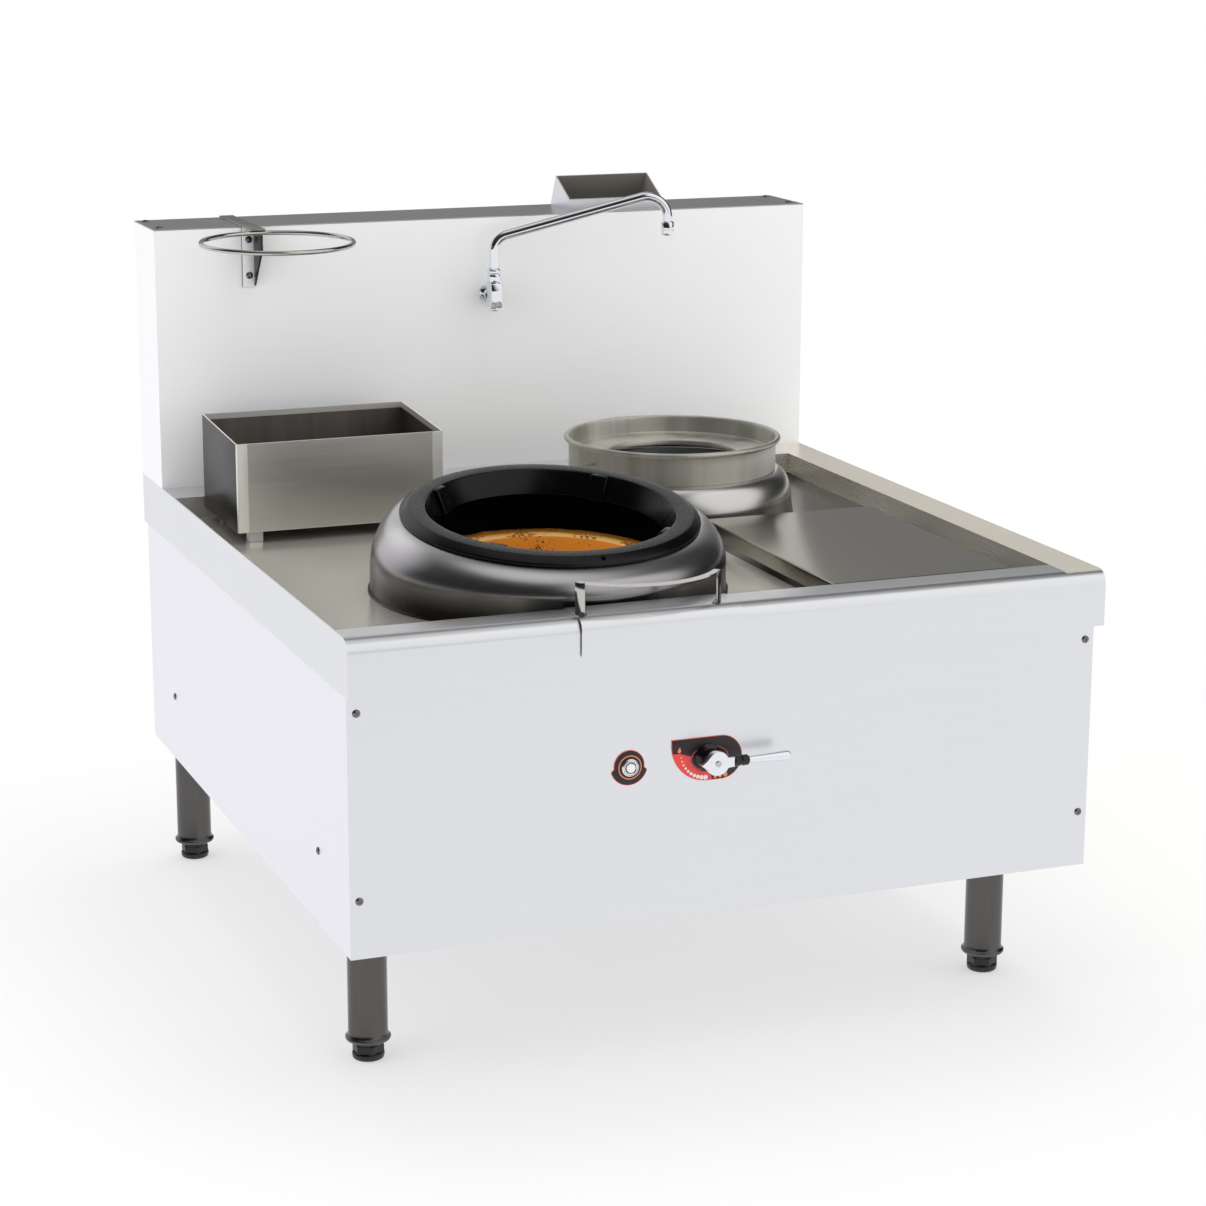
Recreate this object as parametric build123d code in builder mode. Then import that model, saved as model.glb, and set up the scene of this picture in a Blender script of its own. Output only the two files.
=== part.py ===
from build123d import *
import math
import os

# Wok range with one blown burner: a stainless worktop with a shallow pan, a tilted wok dome,
# a rear pot ring, a splash back with flue and swivel tap, a closed cabinet and four feet.
# Millimetres.  +Z up, +Y to the rear, origin on the floor under the middle of the whole range,
# counting the guard handle that stands out in front.

os.makedirs("parts", exist_ok=True)

# ---------------------------------------------------------------- driving dimensions
width = 1200.0                # over the worktop, left to right
depth = 1250.0                # apron front to splash back rear
worktop_height = 702.0        # rim of the worktop above the floor
sheet = 2.0                   # stainless sheet of worktop, cabinet and splash back
seat_gap = 0.3                # air left between a piece that moves and its seat
running_fit = 0.05            # radial clearance of studs, shafts and the spout

# worktop
apron_height = 86.0
bullnose_radius = 22.0
front_rim = 65.0
right_rim = 62.0
rear_ledge = 88.0             # flat between the pan and the splash back
pan_depth = 37.0
drain_radius = 24.0
drain_length = 60.0

# splash back
splash_depth = 147.0
splash_height = 442.0
left_top_plate = 161.7        # lengths of the two short top plates
right_top_plate = 53.7
top_seam = 0.6

# cabinet
cabinet_drop = 476.0          # underside of the cabinet below the worktop
panel_setback = 23.0          # front panel behind the apron front
side_inset = 4.0
rear_inset = 8.0
panel_flange = 22.0
rear_flange = 9.0
panel_top_gap = 4.0           # under the pan floor
rail = 40.0                   # legs of the angle steel frame
angle_wall = 4.0
top_rail_height = 30.0
top_rail_width = 52.0
side_rail_height = 30.0
side_rail_rise = 99.0         # above the underside of the cabinet

# legs and feet
leg_radius = 30.0
leg_wall = 3.0
front_leg_inset = (80.0, 199.0)   # from the side and from the front
rear_leg_inset = (62.0, 42.0)     # from the side and from the rear
foot_height = 31.0
foot_radius = 24.5
foot_base_radius = 22.0
foot_round = 7.0
foot_flat = (10.0, 14.0)          # start and height of the spanner flats
collar_radius = 34.5
collar_height = 6.0
insert_height = 30.0          # plug of the collar inside the tube
stud_radius = 8.0
stud_length = 52.0

# wok dome and iron ring
main_inset = (423.0, 345.0)       # burner axis from the left edge and from the front
dome_radius = 272.5
dome_lip = 3.5                    # foot flange beyond the wall
dome_lip_height = 2.5
dome_wall_height = 40.0
dome_sheet = 2.0
dome_steps = 7
dome_quarter = math.radians(80.0) # part of the quarter curve that the shoulder uses
ring_tilt = math.radians(7.0)     # the ring leans down towards the cook
ring_shift = 12.0                 # ring centre in front of the burner axis
ring_rise = 125.5                 # ring face above the pan floor
ring_radius = 230.0
ring_face_radius = 218.0
ring_opening = 192.0
ring_bevel = 9.0
ring_height = 14.0
ring_skirt = 36.0                 # full depth of the inner wall
ring_throat = 174.0               # inner wall at its foot
ring_wall = 10.0
ring_hole_radius = 3.5
ring_hole_place = (222.0, -90.0)  # radius and angle on the bevel
dome_hole_gap = 3.0
rib_turn = 45.5                   # first rib from the right-hand side, degrees
rib_count = 4
rib_width = 29.0
rib_reach = 7.0

# furnace under the wok ring
bowl_radius = 205.0
bowl_wall = 2.0
bowl_depth = 195.0                # below the pan floor
bowl_rise = 25.0                  # above the pan floor
bowl_flange = 20.0
brick_gap = 0.5
brick_mouth = 169.0
brick_shift = 4.0
brick_rise = 40.0                 # mouth above the pan floor
brick_tilt = math.radians(3.5)
brick_throat = 110.0
brick_throat_depth = 105.0        # below the pan floor
burner_radius = 88.0
burner_wall = 5.0
burner_base = 30.0                # underside of the head above the bowl floor
burner_height = 34.0
burner_port = 4.0
burner_port_count = 12
burner_port_circle = 62.0
air_pipe_radius = 30.0
air_pipe_wall = 2.0
air_pipe_bend = 62.0
igniter_radius = 4.0
igniter_offset = 97.0
igniter_module = (44.0, 36.0, 28.0)

# rear pot ring, chamber and flue
rear_inset_place = (808.0, 239.0) # pot ring axis from the left edge and from the rear of the pan
rear_dome_radius = 208.0
rear_dome_draft = 4.0
rear_dome_wall = 32.0
rear_dome_height = 81.0
rear_dome_hole = 150.0
pot_ring_radius = 176.0
pot_ring_height = 56.0
pot_ring_sheet = 2.0
pot_bead = 4.6
pot_ledge = 24.0                  # ledge above the foot of the ring
pot_hole = 112.0
pot_lip = 9.0
pin_radius = 2.5
pin_length = 22.0
pin_turn = math.radians(200.0)
pin_slope = math.radians(15.0)
chamber_radius = 110.0
chamber_rise = 92.0
chamber_depth = 125.0
chamber_flange = 14.0
channel_width = 120.0
channel_height = 70.0
channel_drop = 45.0               # top of the channel below the pan floor
flue_left = 763.0                 # from the left edge
flue_width = 176.0
flue_depth = 97.0
flue_front_height = 18.0
flue_rear_height = 54.0
flue_lean = 28.0
flue_rear_gap = 3.0
duct_overlap = 6.0                # how far the duct reaches into the outlet
duct_depth = 84.0
duct_branch_width = 125.0
duct_branch_height = 85.0

# lift-out cover plate over the gutter
cover_dome_gap = 74.0             # between the wok dome and the plate
cover_gutter = 64.0               # open gutter to the right of the plate
cover_rear_gap = 19.0             # in front of the rear dome
cover_front_gap = 4.0
cover_skirt = 25.0
cover_tab = 24.0

# utensil box
box_left = 51.0                   # from the left edge
box_width = 352.0
box_depth = 224.0
box_rear_gap = 2.0
box_lift = 19.0                   # floor of the box above the pan floor
box_front_height = 147.0
box_rear_height = 160.0
box_sheet = 1.5
box_hem = 10.0
box_foot = 22.0
box_foot_inset = (23.0, 13.0)

# lift-off guard and its handle
guard_left = 345.0                # from the left edge
guard_width = 250.0
guard_sheet = 1.5
guard_hook = 12.0
guard_front_gap = 3.0
guard_drop = 55.0
guard_corner = 10.0
handle_place = 458.0              # middle of the handle from the left edge
handle_radius = 140.0
handle_centre_inset = 115.0       # centre of its arc from the front
handle_angle = 48.0
handle_height = 47.0
handle_strip = 11.0
handle_leg = 16.0
handle_sheet = 2.0
handle_foot = 8.0

# ladle ring
ladle_place = 162.0               # from the left edge
ladle_ring_radius = 129.0
ladle_wire = 4.0
ladle_strap = 25.0
ladle_plate_width = 23.0
ladle_sheet = 3.0
ladle_reach = 70.0                # strap in front of the splash back
ladle_weld = 10.0                 # strap over the ring
ladle_plate = 103.0
ladle_gusset = (54.0, 13.0)       # reach and square front of the gusset
ladle_screw_drops = (22.0, 83.0)

# swivel tap
tap_place = 590.5                 # from the left edge
tap_reach = 38.0                  # swivel axis in front of the splash back
tap_rise = 288.0                  # foot of the body above the worktop
tap_body_size = (20.0, 30.0, 43.0)
tap_socket = 33.0                 # how deep the spout stands in the body
tap_stub_radius = 11.0
tap_stub_rise = 20.0
tap_flange_radius = 15.0
tap_flange_sheet = 3.0
tap_collar_radius = 12.0
tap_collar_height = 25.0
spout_radius = 8.5
spout_wall = 1.2
spout_length = 306.0
spout_rise = 120.0                # first bend above the foot of the body
spout_top = 200.0                 # second bend above the foot of the body
spout_bends = (28.0, 38.0)
spout_swing = math.radians(-12.65)
nozzle_radius = 11.5
nozzle_height = 25.0
nozzle_rise = 121.0               # foot of the nozzle above the foot of the body
water_pipe_radius = 8.0
water_pipe_bore = 6.5
water_pipe_bend = 22.0
water_inlet_rise = 74.0           # above the underside of the cabinet
water_union_radius = 10.5
water_union_length = 24.0

# start button
button_place = 430.0              # from the left edge
button_drop = 235.0               # below the worktop
badge_sheet = 1.0
button_badge_radius = 20.5
button_badge_skirt = 26.5
bezel_radius = 13.5
bezel_height = 4.0
bezel_neck = 11.5
bezel_neck_length = 14.0
button_radius = 7.0
button_height = 1.5               # proud of its bezel
button_depth = 14.0
button_travel = 3.0
switch_radius = 12.5
switch_length = 30.0

# burner lever
lever_place = 553.0               # from the left edge
lever_drop = 232.0
control_badge = (113.0, 67.0)
control_badge_left = 58.0         # badge edge left of the lever axis
control_badge_rise = 31.0         # badge top above the lever axis
hub_radius = 21.0
hub_tip_radius = 13.0
hub_height = 26.0
lever_head_radius = 16.0
lever_head_depth = 13.0
lever_pointer = 26.0
lever_pointer_width = 9.0
lever_neck_width = 15.0
lever_collar_start = 27.0
lever_collar_end = 51.0
lever_collar_radius = 8.0
lever_arm_radius = 5.5
lever_tip_radius = 8.0
lever_length = 117.0
lever_core_radius = 4.0
lever_screw_radius = 5.0
lever_screw_socket = 2.6
lever_screw_height = 2.0
shaft_radius = 5.0
valve_radius = 19.0
valve_length = 46.0
valve_socket = 20.0

# gas pipes and blower
gas_pipe_radius = 10.0
gas_pipe_bore = 8.0
gas_pipe_bend = 30.0
gas_inlet_inset = 180.0           # from the left edge
gas_inlet_rise = 74.0             # above the underside of the cabinet
gas_union_radius = 13.2
gas_union_length = 28.0
gas_feed_radius = 8.0
gas_feed_bore = 6.5
gas_feed_bend = 20.0
gas_feed_offset = 57.0
gas_feed_drop = 30.0
gas_feed_run = (25.0, 75.0)       # where the feed starts and ends its dip under the furnace
blower_inset = (850.0, 345.0)     # blower axis from the left edge and from the front
blower_radius = 78.0
blower_width = 62.0
blower_height = 102.0             # axis above the bottom panel
blower_foot = (150.0, 90.0, 34.0)
motor_radius = 44.0
motor_length = 70.0

# screws
screw_radius = 6.0
screw_height = 2.6
screw_shank = 2.5
screw_length = 9.0
screw_hole_gap = 0.2
front_screw_inset = 18.0
front_screw_rises = (364.0, 87.0) # above the underside of the cabinet
side_screw_rise = 114.0
side_screw_insets = (183.0, 176.0)  # from the front and from the rear
top_screw_inset = 16.0

# ---------------------------------------------------------------- derived places
handle_edge = handle_radius + handle_strip / 2
handle_overhang = handle_edge - handle_centre_inset
left = -width / 2
right = width / 2
front = (handle_overhang - depth) / 2
rear = front + depth
splash_front = rear - splash_depth
splash_top = worktop_height + splash_height
apron_bottom = worktop_height - apron_height
cabinet_bottom = worktop_height - cabinet_drop
pan_left = left + sheet
pan_right = right - right_rim
pan_front = front + front_rim
pan_rear = splash_front - rear_ledge
pan_z = worktop_height - pan_depth
pan_under = pan_z - sheet
panel_front = front + panel_setback
cabinet_rear = rear - rear_inset
cabinet_half = width / 2 - side_inset
panel_top = pan_under - panel_top_gap
main_x = left + main_inset[0]
main_y = front + main_inset[1]
rear_x = left + rear_inset_place[0]
rear_y = pan_rear - rear_inset_place[1]
bowl_bottom = pan_z - bowl_depth
bowl_floor = bowl_bottom + bowl_wall
burner_foot = bowl_floor + burner_base
lever_x = left + lever_place
lever_z = worktop_height - lever_drop
button_x = left + button_place
button_z = worktop_height - button_drop
tap_x = left + tap_place
tap_y = splash_front - tap_reach
tap_z = worktop_height + tap_rise
stub_z = tap_z + tap_stub_rise
badge_front = panel_front - badge_sheet
gas_inlet_x = left + gas_inlet_inset
gas_inlet_z = cabinet_bottom + gas_inlet_rise
water_inlet_z = cabinet_bottom + water_inlet_rise


def front_face(y):
    """Plane across the range at depth y, facing the cook: its x is X and its y is Z."""
    return Plane.XZ.offset(-y)


def upright(place):
    """Profile plane through the axis of a place: its x runs outward, its y up the axis."""
    return Plane(origin=place.origin, x_dir=place.x_dir, z_dir=-place.y_dir)


def radial(place, degrees):
    """Profile plane through the axis of a place, turned about that axis."""
    turn = math.radians(degrees)
    outward = place.x_dir * math.cos(turn) + place.y_dir * math.sin(turn)
    return Plane(origin=place.origin, x_dir=outward, z_dir=outward.cross(place.z_dir))


def leaning(x, y, z, tilt):
    """Level plane at a point, leaning down towards the cook by tilt."""
    return Plane(origin=(x, y, z), x_dir=(1, 0, 0), z_dir=(0, -math.sin(tilt), math.cos(tilt)))


def save(builder, name):
    builder.part.label = name
    export_step(builder.part, f"parts/{name}.step")


# ---------------------------------------------------------------- screw places
front_screw_planes = [
    Plane(origin=(side * (width / 2 - front_screw_inset), panel_front, cabinet_bottom + rise),
          x_dir=(1, 0, 0), z_dir=(0, -1, 0))
    for side in (-1, 1)
    for rise in front_screw_rises
]
side_screw_planes = [
    Plane(
        origin=(side * cabinet_half, y, cabinet_bottom + side_screw_rise),
        x_dir=(0, side, 0),
        z_dir=(side, 0, 0),
    )
    for side in (-1, 1)
    for y in (front + side_screw_insets[0], rear - side_screw_insets[1])
]
top_screw_planes = [
    Plane(origin=(side * (width / 2 - top_screw_inset), y, splash_top), x_dir=(1, 0, 0), z_dir=(0, 0, 1))
    for side in (-1, 1)
    for y in (splash_front + 2 * top_screw_inset, rear - top_screw_inset)
]
ladle_x = left + ladle_place
bracket_front = splash_front - ladle_sheet
ladle_screw_planes = [
    Plane(origin=(ladle_x, bracket_front, splash_top - drop), x_dir=(1, 0, 0), z_dir=(0, -1, 0))
    for drop in ladle_screw_drops
]


def drill(planes):
    """Clearance holes for the shanks of the screws that stand on these planes."""
    with Locations(*[Location(plane) for plane in planes]):
        Cylinder(screw_shank + screw_hole_gap, 2 * (screw_length + 1), mode=Mode.SUBTRACT)


def screws(planes):
    """Domed screws with their shanks, one on each plane."""
    with Locations(*[Location(plane) for plane in planes]):
        Cone(screw_radius, screw_radius * 0.6, screw_height, align=(Align.CENTER, Align.CENTER, Align.MIN))
        Cylinder(screw_shank, screw_length, align=(Align.CENTER, Align.CENTER, Align.MAX))


# ---------------------------------------------------------------- worktop with its pan
def worktop_outline(inset):
    """Side view of the worktop shell, drawn in by inset, with the bullnose at the front."""
    bend = (front + bullnose_radius, worktop_height - bullnose_radius)
    Line((front + inset, apron_bottom - inset), (front + inset, bend[1]))
    CenterArc(bend, bullnose_radius - inset, 90, 90)
    Polyline(
        (bend[0], worktop_height - inset),
        (rear - inset, worktop_height - inset),
        (rear - inset, apron_bottom - inset),
        (front + inset, apron_bottom - inset),
    )


pan_size = (pan_right - pan_left, pan_rear - pan_front)
pan_middle = ((pan_left + pan_right) / 2, (pan_front + pan_rear) / 2)
cover_left = main_x + dome_radius + dome_lip + cover_dome_gap
cover_right = pan_right - cover_gutter
cover_front = pan_front + cover_front_gap
cover_rear = rear_y - rear_dome_radius - cover_rear_gap
cover_middle = ((cover_left + cover_right) / 2, (cover_front + cover_rear) / 2)
cover_width = cover_right - cover_left
cover_length = cover_rear - cover_front
drain_place = (cover_middle[0], cover_front + 4 * drain_radius)
duct_front = rear - flue_rear_gap - flue_depth + sheet + seat_gap
duct_left = left + flue_left + sheet + seat_gap
duct_width = flue_width - 2 * (sheet + seat_gap)
duct_middle = (duct_left + duct_width / 2, duct_front + duct_depth / 2)
water_pipe_y = splash_front + 2 * water_pipe_bend

with BuildPart() as worktop:
    with BuildSketch(Plane.YZ.offset(left)):
        with BuildLine():
            worktop_outline(0)
        make_face()
    extrude(amount=width)
    with BuildSketch(Plane.YZ.offset(pan_left)):
        with BuildLine():
            worktop_outline(sheet)
        make_face()
    extrude(amount=width - 2 * sheet, mode=Mode.SUBTRACT)
    # the pan hangs from the rim
    with BuildSketch(Plane.XY.offset(pan_under)):
        with Locations(pan_middle):
            Rectangle(pan_size[0] + 2 * sheet, pan_size[1] + 2 * sheet)
    extrude(amount=pan_depth + sheet)
    with BuildSketch(Plane.XY.offset(pan_z)):
        with Locations(pan_middle):
            Rectangle(*pan_size)
    extrude(amount=2 * pan_depth, mode=Mode.SUBTRACT)
    # holes for furnace, rear chamber and drain
    with BuildSketch(Plane.XY.offset(pan_under)):
        with Locations((main_x, main_y)):
            Circle(bowl_radius + 1)
        with Locations((rear_x, rear_y)):
            Circle(chamber_radius + 1)
        with Locations(drain_place):
            Circle(drain_radius)
    extrude(amount=sheet, mode=Mode.SUBTRACT)
    # flue duct and water pipe pass up into the splash back
    with BuildSketch(Plane.XY.offset(worktop_height)):
        with Locations(duct_middle):
            Rectangle(duct_width + 2 * seat_gap, duct_depth + 2 * seat_gap)
        with Locations((tap_x, water_pipe_y)):
            Circle(water_pipe_radius + 1)
    extrude(amount=-sheet, mode=Mode.SUBTRACT)
save(worktop, "worktop")

with BuildPart() as drain_outlet:
    with BuildSketch(Plane.XY.offset(pan_z - drain_length)):
        with Locations(drain_place):
            Circle(drain_radius - running_fit)
            Circle(drain_radius - sheet, mode=Mode.SUBTRACT)
    extrude(amount=drain_length)
    with BuildSketch(Plane.XY.offset(pan_under - sheet)):
        with Locations(drain_place):
            Circle(drain_radius + 4 * sheet)
            Circle(drain_radius - sheet, mode=Mode.SUBTRACT)
    extrude(amount=sheet)
save(drain_outlet, "drain_outlet")

# ---------------------------------------------------------------- base frame of angle steel
frame_half = cabinet_half - sheet
frame_front = panel_front + 2 * sheet
frame_rear = cabinet_rear - 2 * sheet
frame_bottom = cabinet_bottom + sheet
frame_middle = (frame_front + frame_rear) / 2
frame_length = frame_rear - frame_front
top_ring_rear = pan_rear + sheet
top_ring_middle = (frame_front + top_ring_rear) / 2
top_ring_length = top_ring_rear - frame_front
post_offset = frame_half - rail / 2
leg_places = [
    (left + front_leg_inset[0], front + front_leg_inset[1]),
    (right - front_leg_inset[0], front + front_leg_inset[1]),
    (left + rear_leg_inset[0], rear - rear_leg_inset[1]),
    (right - rear_leg_inset[0], rear - rear_leg_inset[1]),
]
tube_bottom = foot_height + collar_height
channel_depth = 2 * leg_radius + rail / 2
channel_places = (leg_places[0][1], frame_rear - channel_depth / 2)
channel_flanges = (
    channel_places[0] - (channel_depth - angle_wall) / 2,
    channel_places[0] + (channel_depth - angle_wall) / 2,
    channel_places[1] - (channel_depth - angle_wall) / 2,
)

with BuildPart() as base_frame:
    # bottom ring of angle steel, and the channels that carry the legs
    with BuildSketch(Plane.XY.offset(frame_bottom)):
        with Locations((0, frame_middle)):
            Rectangle(2 * frame_half, frame_length)
            Rectangle(2 * (frame_half - rail), frame_length - 2 * rail, mode=Mode.SUBTRACT)
        for channel_y in channel_places:
            with Locations((0, channel_y)):
                Rectangle(2 * frame_half, channel_depth)
    extrude(amount=angle_wall)
    with BuildSketch(Plane.XY.offset(frame_bottom)):
        with Locations((0, frame_middle)):
            Rectangle(2 * frame_half, frame_length)
            Rectangle(2 * (frame_half - angle_wall), frame_length - 2 * angle_wall, mode=Mode.SUBTRACT)
        for flange_y in channel_flanges:
            with Locations((0, flange_y)):
                Rectangle(2 * frame_half, angle_wall)
    extrude(amount=rail)
    # front posts stand under the pan, rear posts under the ledge behind it
    for post_end, corner_y, post_top in (
        (1, frame_front, pan_under),
        (-1, frame_rear, worktop_height - sheet),
    ):
        with BuildSketch(Plane.XY.offset(frame_bottom)):
            for side in (-1, 1):
                with Locations((side * post_offset, corner_y + post_end * angle_wall / 2)):
                    Rectangle(rail, angle_wall)
                with Locations((side * (frame_half - angle_wall / 2), corner_y + post_end * rail / 2)):
                    Rectangle(angle_wall, rail)
        extrude(amount=post_top - frame_bottom)
    # top ring under the edges of the pan, its sides running on to the rear posts
    with BuildSketch(Plane.XY.offset(pan_under)):
        with Locations((0, top_ring_middle)):
            Rectangle(2 * frame_half, top_ring_length)
            Rectangle(
                2 * (frame_half - top_rail_width),
                top_ring_length - 2 * top_rail_width,
                mode=Mode.SUBTRACT,
            )
        for side in (-1, 1):
            with Locations((side * post_offset, frame_middle)):
                Rectangle(rail, frame_length)
    extrude(amount=-angle_wall)
    with BuildSketch(Plane.XY.offset(pan_under)):
        with Locations((0, top_ring_middle)):
            Rectangle(2 * frame_half, top_ring_length)
            Rectangle(2 * (frame_half - angle_wall), top_ring_length - 2 * angle_wall, mode=Mode.SUBTRACT)
        for side in (-1, 1):
            with Locations((side * (frame_half - angle_wall / 2), frame_middle)):
                Rectangle(angle_wall, frame_length)
    extrude(amount=-top_rail_height)
    # flat rails behind the side panels
    with BuildSketch(Plane.XY.offset(cabinet_bottom + side_rail_rise)):
        for side in (-1, 1):
            with Locations((side * (frame_half - angle_wall / 2), frame_middle)):
                Rectangle(angle_wall, frame_length)
    extrude(amount=side_rail_height)
    drill(front_screw_planes)
    drill(side_screw_planes)
save(base_frame, "base_frame")

# ---------------------------------------------------------------- leg tubes and adjustable feet
with BuildPart() as leg_tubes:
    with BuildSketch(Plane.XY.offset(tube_bottom)):
        with Locations(*leg_places):
            Circle(leg_radius)
            Circle(leg_radius - leg_wall, mode=Mode.SUBTRACT)
    extrude(amount=frame_bottom - tube_bottom)
    # collar with its plug in the foot of the tube
    with BuildSketch(Plane.XY.offset(foot_height)):
        with Locations(*leg_places):
            Circle(collar_radius)
    extrude(amount=collar_height)
    with BuildSketch(Plane.XY.offset(foot_height)):
        with Locations(*leg_places):
            Circle(leg_radius - leg_wall / 2)
    extrude(amount=collar_height + insert_height)
    with BuildSketch(Plane.XY.offset(foot_height)):
        with Locations(*leg_places):
            Circle(stud_radius + running_fit)
    extrude(amount=collar_height + insert_height, mode=Mode.SUBTRACT)
save(leg_tubes, "leg_tubes")

foot_names = ("foot_front_left", "foot_front_right", "foot_rear_left", "foot_rear_right")
foot_top = foot_height - seat_gap
for foot_name, leg_place in zip(foot_names, leg_places):
    foot_axis = Plane(origin=(leg_place[0], leg_place[1], 0))
    with BuildPart() as foot:
        with BuildSketch(upright(foot_axis)):
            with BuildLine():
                Polyline(
                    (0, 0),
                    (foot_base_radius, 0),
                    (foot_radius, foot_top),
                    (stud_radius, foot_top),
                    (stud_radius, foot_top + stud_length),
                    (0, foot_top + stud_length),
                    close=True,
                )
            make_face()
        revolve(axis=Axis(foot_axis.origin, foot_axis.z_dir))
        fillet(foot.edges().group_by(Axis.Z)[0], foot_round)
        with BuildSketch(foot_axis.offset(foot_flat[0])):
            Circle(foot_radius + 2)
            RegularPolygon(foot_radius + 1, 6, mode=Mode.SUBTRACT)
        extrude(amount=foot_flat[1], mode=Mode.SUBTRACT)
    save(foot, foot_name)

# ---------------------------------------------------------------- cabinet panels
with BuildPart() as bottom_panel:
    with BuildSketch(Plane.XY.offset(cabinet_bottom)):
        with Locations((0, (panel_front + cabinet_rear) / 2)):
            Rectangle(2 * frame_half, cabinet_rear - panel_front - 2 * sheet)
        with Locations(*leg_places):
            Circle(leg_radius + seat_gap, mode=Mode.SUBTRACT)
    extrude(amount=sheet)
save(bottom_panel, "bottom_panel")

with BuildPart() as front_panel:
    with BuildSketch(front_face(panel_front + sheet)):
        with Locations((0, (cabinet_bottom + panel_top) / 2)):
            Rectangle(2 * cabinet_half, panel_top - cabinet_bottom)
        with Locations((button_x, button_z)):
            Circle(bezel_neck + seat_gap, mode=Mode.SUBTRACT)
        with Locations((lever_x, lever_z)):
            Circle(shaft_radius + 1, mode=Mode.SUBTRACT)
    extrude(amount=sheet)
    drill(front_screw_planes)
save(front_panel, "front_panel")

for side, panel_name in ((-1, "left_side_panel"), (1, "right_side_panel")):
    with BuildPart() as side_panel:
        # sheet with its two flanges, seen from above
        with BuildSketch(Plane.XY.offset(cabinet_bottom)):
            with Locations((side * (cabinet_half - sheet / 2), (panel_front + cabinet_rear) / 2)):
                Rectangle(sheet, cabinet_rear - panel_front - 2 * sheet)
        extrude(amount=panel_top - cabinet_bottom)
        with BuildSketch(Plane.XY.offset(frame_bottom)):
            for flange, flange_y in (
                (panel_flange, panel_front + 1.5 * sheet),
                (rear_flange, cabinet_rear - 1.5 * sheet),
            ):
                with Locations((side * (cabinet_half - flange / 2), flange_y)):
                    Rectangle(flange, sheet)
        extrude(amount=panel_top - frame_bottom)
        drill(front_screw_planes)
        drill(side_screw_planes)
    save(side_panel, panel_name)

with BuildPart() as rear_panel:
    with BuildSketch(front_face(cabinet_rear)):
        with Locations((0, (cabinet_bottom + panel_top) / 2)):
            Rectangle(2 * cabinet_half, panel_top - cabinet_bottom)
        with Locations((gas_inlet_x, gas_inlet_z)):
            Circle(gas_union_radius + 1, mode=Mode.SUBTRACT)
        with Locations((tap_x, water_inlet_z)):
            Circle(water_union_radius + 1, mode=Mode.SUBTRACT)
    extrude(amount=sheet)
save(rear_panel, "rear_panel")

# ---------------------------------------------------------------- splash back and its top
splash_middle = (0, splash_front + splash_depth / 2)
with BuildPart() as splash_back:
    with BuildSketch(Plane.XY.offset(worktop_height)):
        with Locations(splash_middle):
            Rectangle(width, splash_depth)
            Rectangle(width - 2 * sheet, splash_depth - 2 * sheet, mode=Mode.SUBTRACT)
    extrude(amount=splash_height - sheet)
    with BuildSketch(front_face(splash_front)):
        with Locations((tap_x, stub_z)):
            Circle(tap_stub_radius + seat_gap)
    extrude(amount=-sheet, mode=Mode.SUBTRACT)
    drill(ladle_screw_planes)
save(splash_back, "splash_back")

top_plate_spans = (
    ("splash_top_left", left, left + left_top_plate),
    ("splash_top_middle", left + left_top_plate + top_seam, right - right_top_plate - top_seam),
    ("splash_top_right", right - right_top_plate, right),
)
for plate_name, plate_start, plate_end in top_plate_spans:
    with BuildPart() as top_plate:
        with BuildSketch(Plane.XY.offset(splash_top - sheet)):
            with Locations(((plate_start + plate_end) / 2, splash_middle[1])):
                Rectangle(plate_end - plate_start, splash_depth)
            with Locations(duct_middle):
                Rectangle(duct_width + 2 * seat_gap, duct_depth + 2 * seat_gap, mode=Mode.SUBTRACT)
        extrude(amount=sheet)
        drill(top_screw_planes)
    save(top_plate, plate_name)

# ---------------------------------------------------------------- flue outlet and duct
flue_foot = rear - flue_rear_gap
flue_wall_shift = sheet / math.cos(math.atan2(flue_lean, flue_rear_height))


def flue_rear_y(height):
    """Depth of the leaning rear wall at a height above the splash back."""
    return flue_foot - flue_lean * height / flue_rear_height


with BuildPart() as flue_outlet:
    with BuildSketch(Plane.YZ.offset(left + flue_left)):
        with BuildLine():
            Polyline(
                (flue_foot - flue_depth, splash_top),
                (flue_foot - flue_depth, splash_top + flue_front_height),
                (flue_rear_y(flue_rear_height), splash_top + flue_rear_height),
                (flue_foot, splash_top),
                close=True,
            )
        make_face()
    extrude(amount=flue_width)
    with BuildSketch(Plane.YZ.offset(left + flue_left + sheet)):
        with BuildLine():
            Polyline(
                (flue_foot - flue_depth + sheet, splash_top - sheet),
                (flue_foot - flue_depth + sheet, splash_top + 2 * flue_rear_height),
                (flue_rear_y(2 * flue_rear_height) - flue_wall_shift, splash_top + 2 * flue_rear_height),
                (flue_rear_y(-sheet) - flue_wall_shift, splash_top - sheet),
                close=True,
            )
        make_face()
    extrude(amount=flue_width - 2 * sheet, mode=Mode.SUBTRACT)
save(flue_outlet, "flue_outlet")

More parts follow.
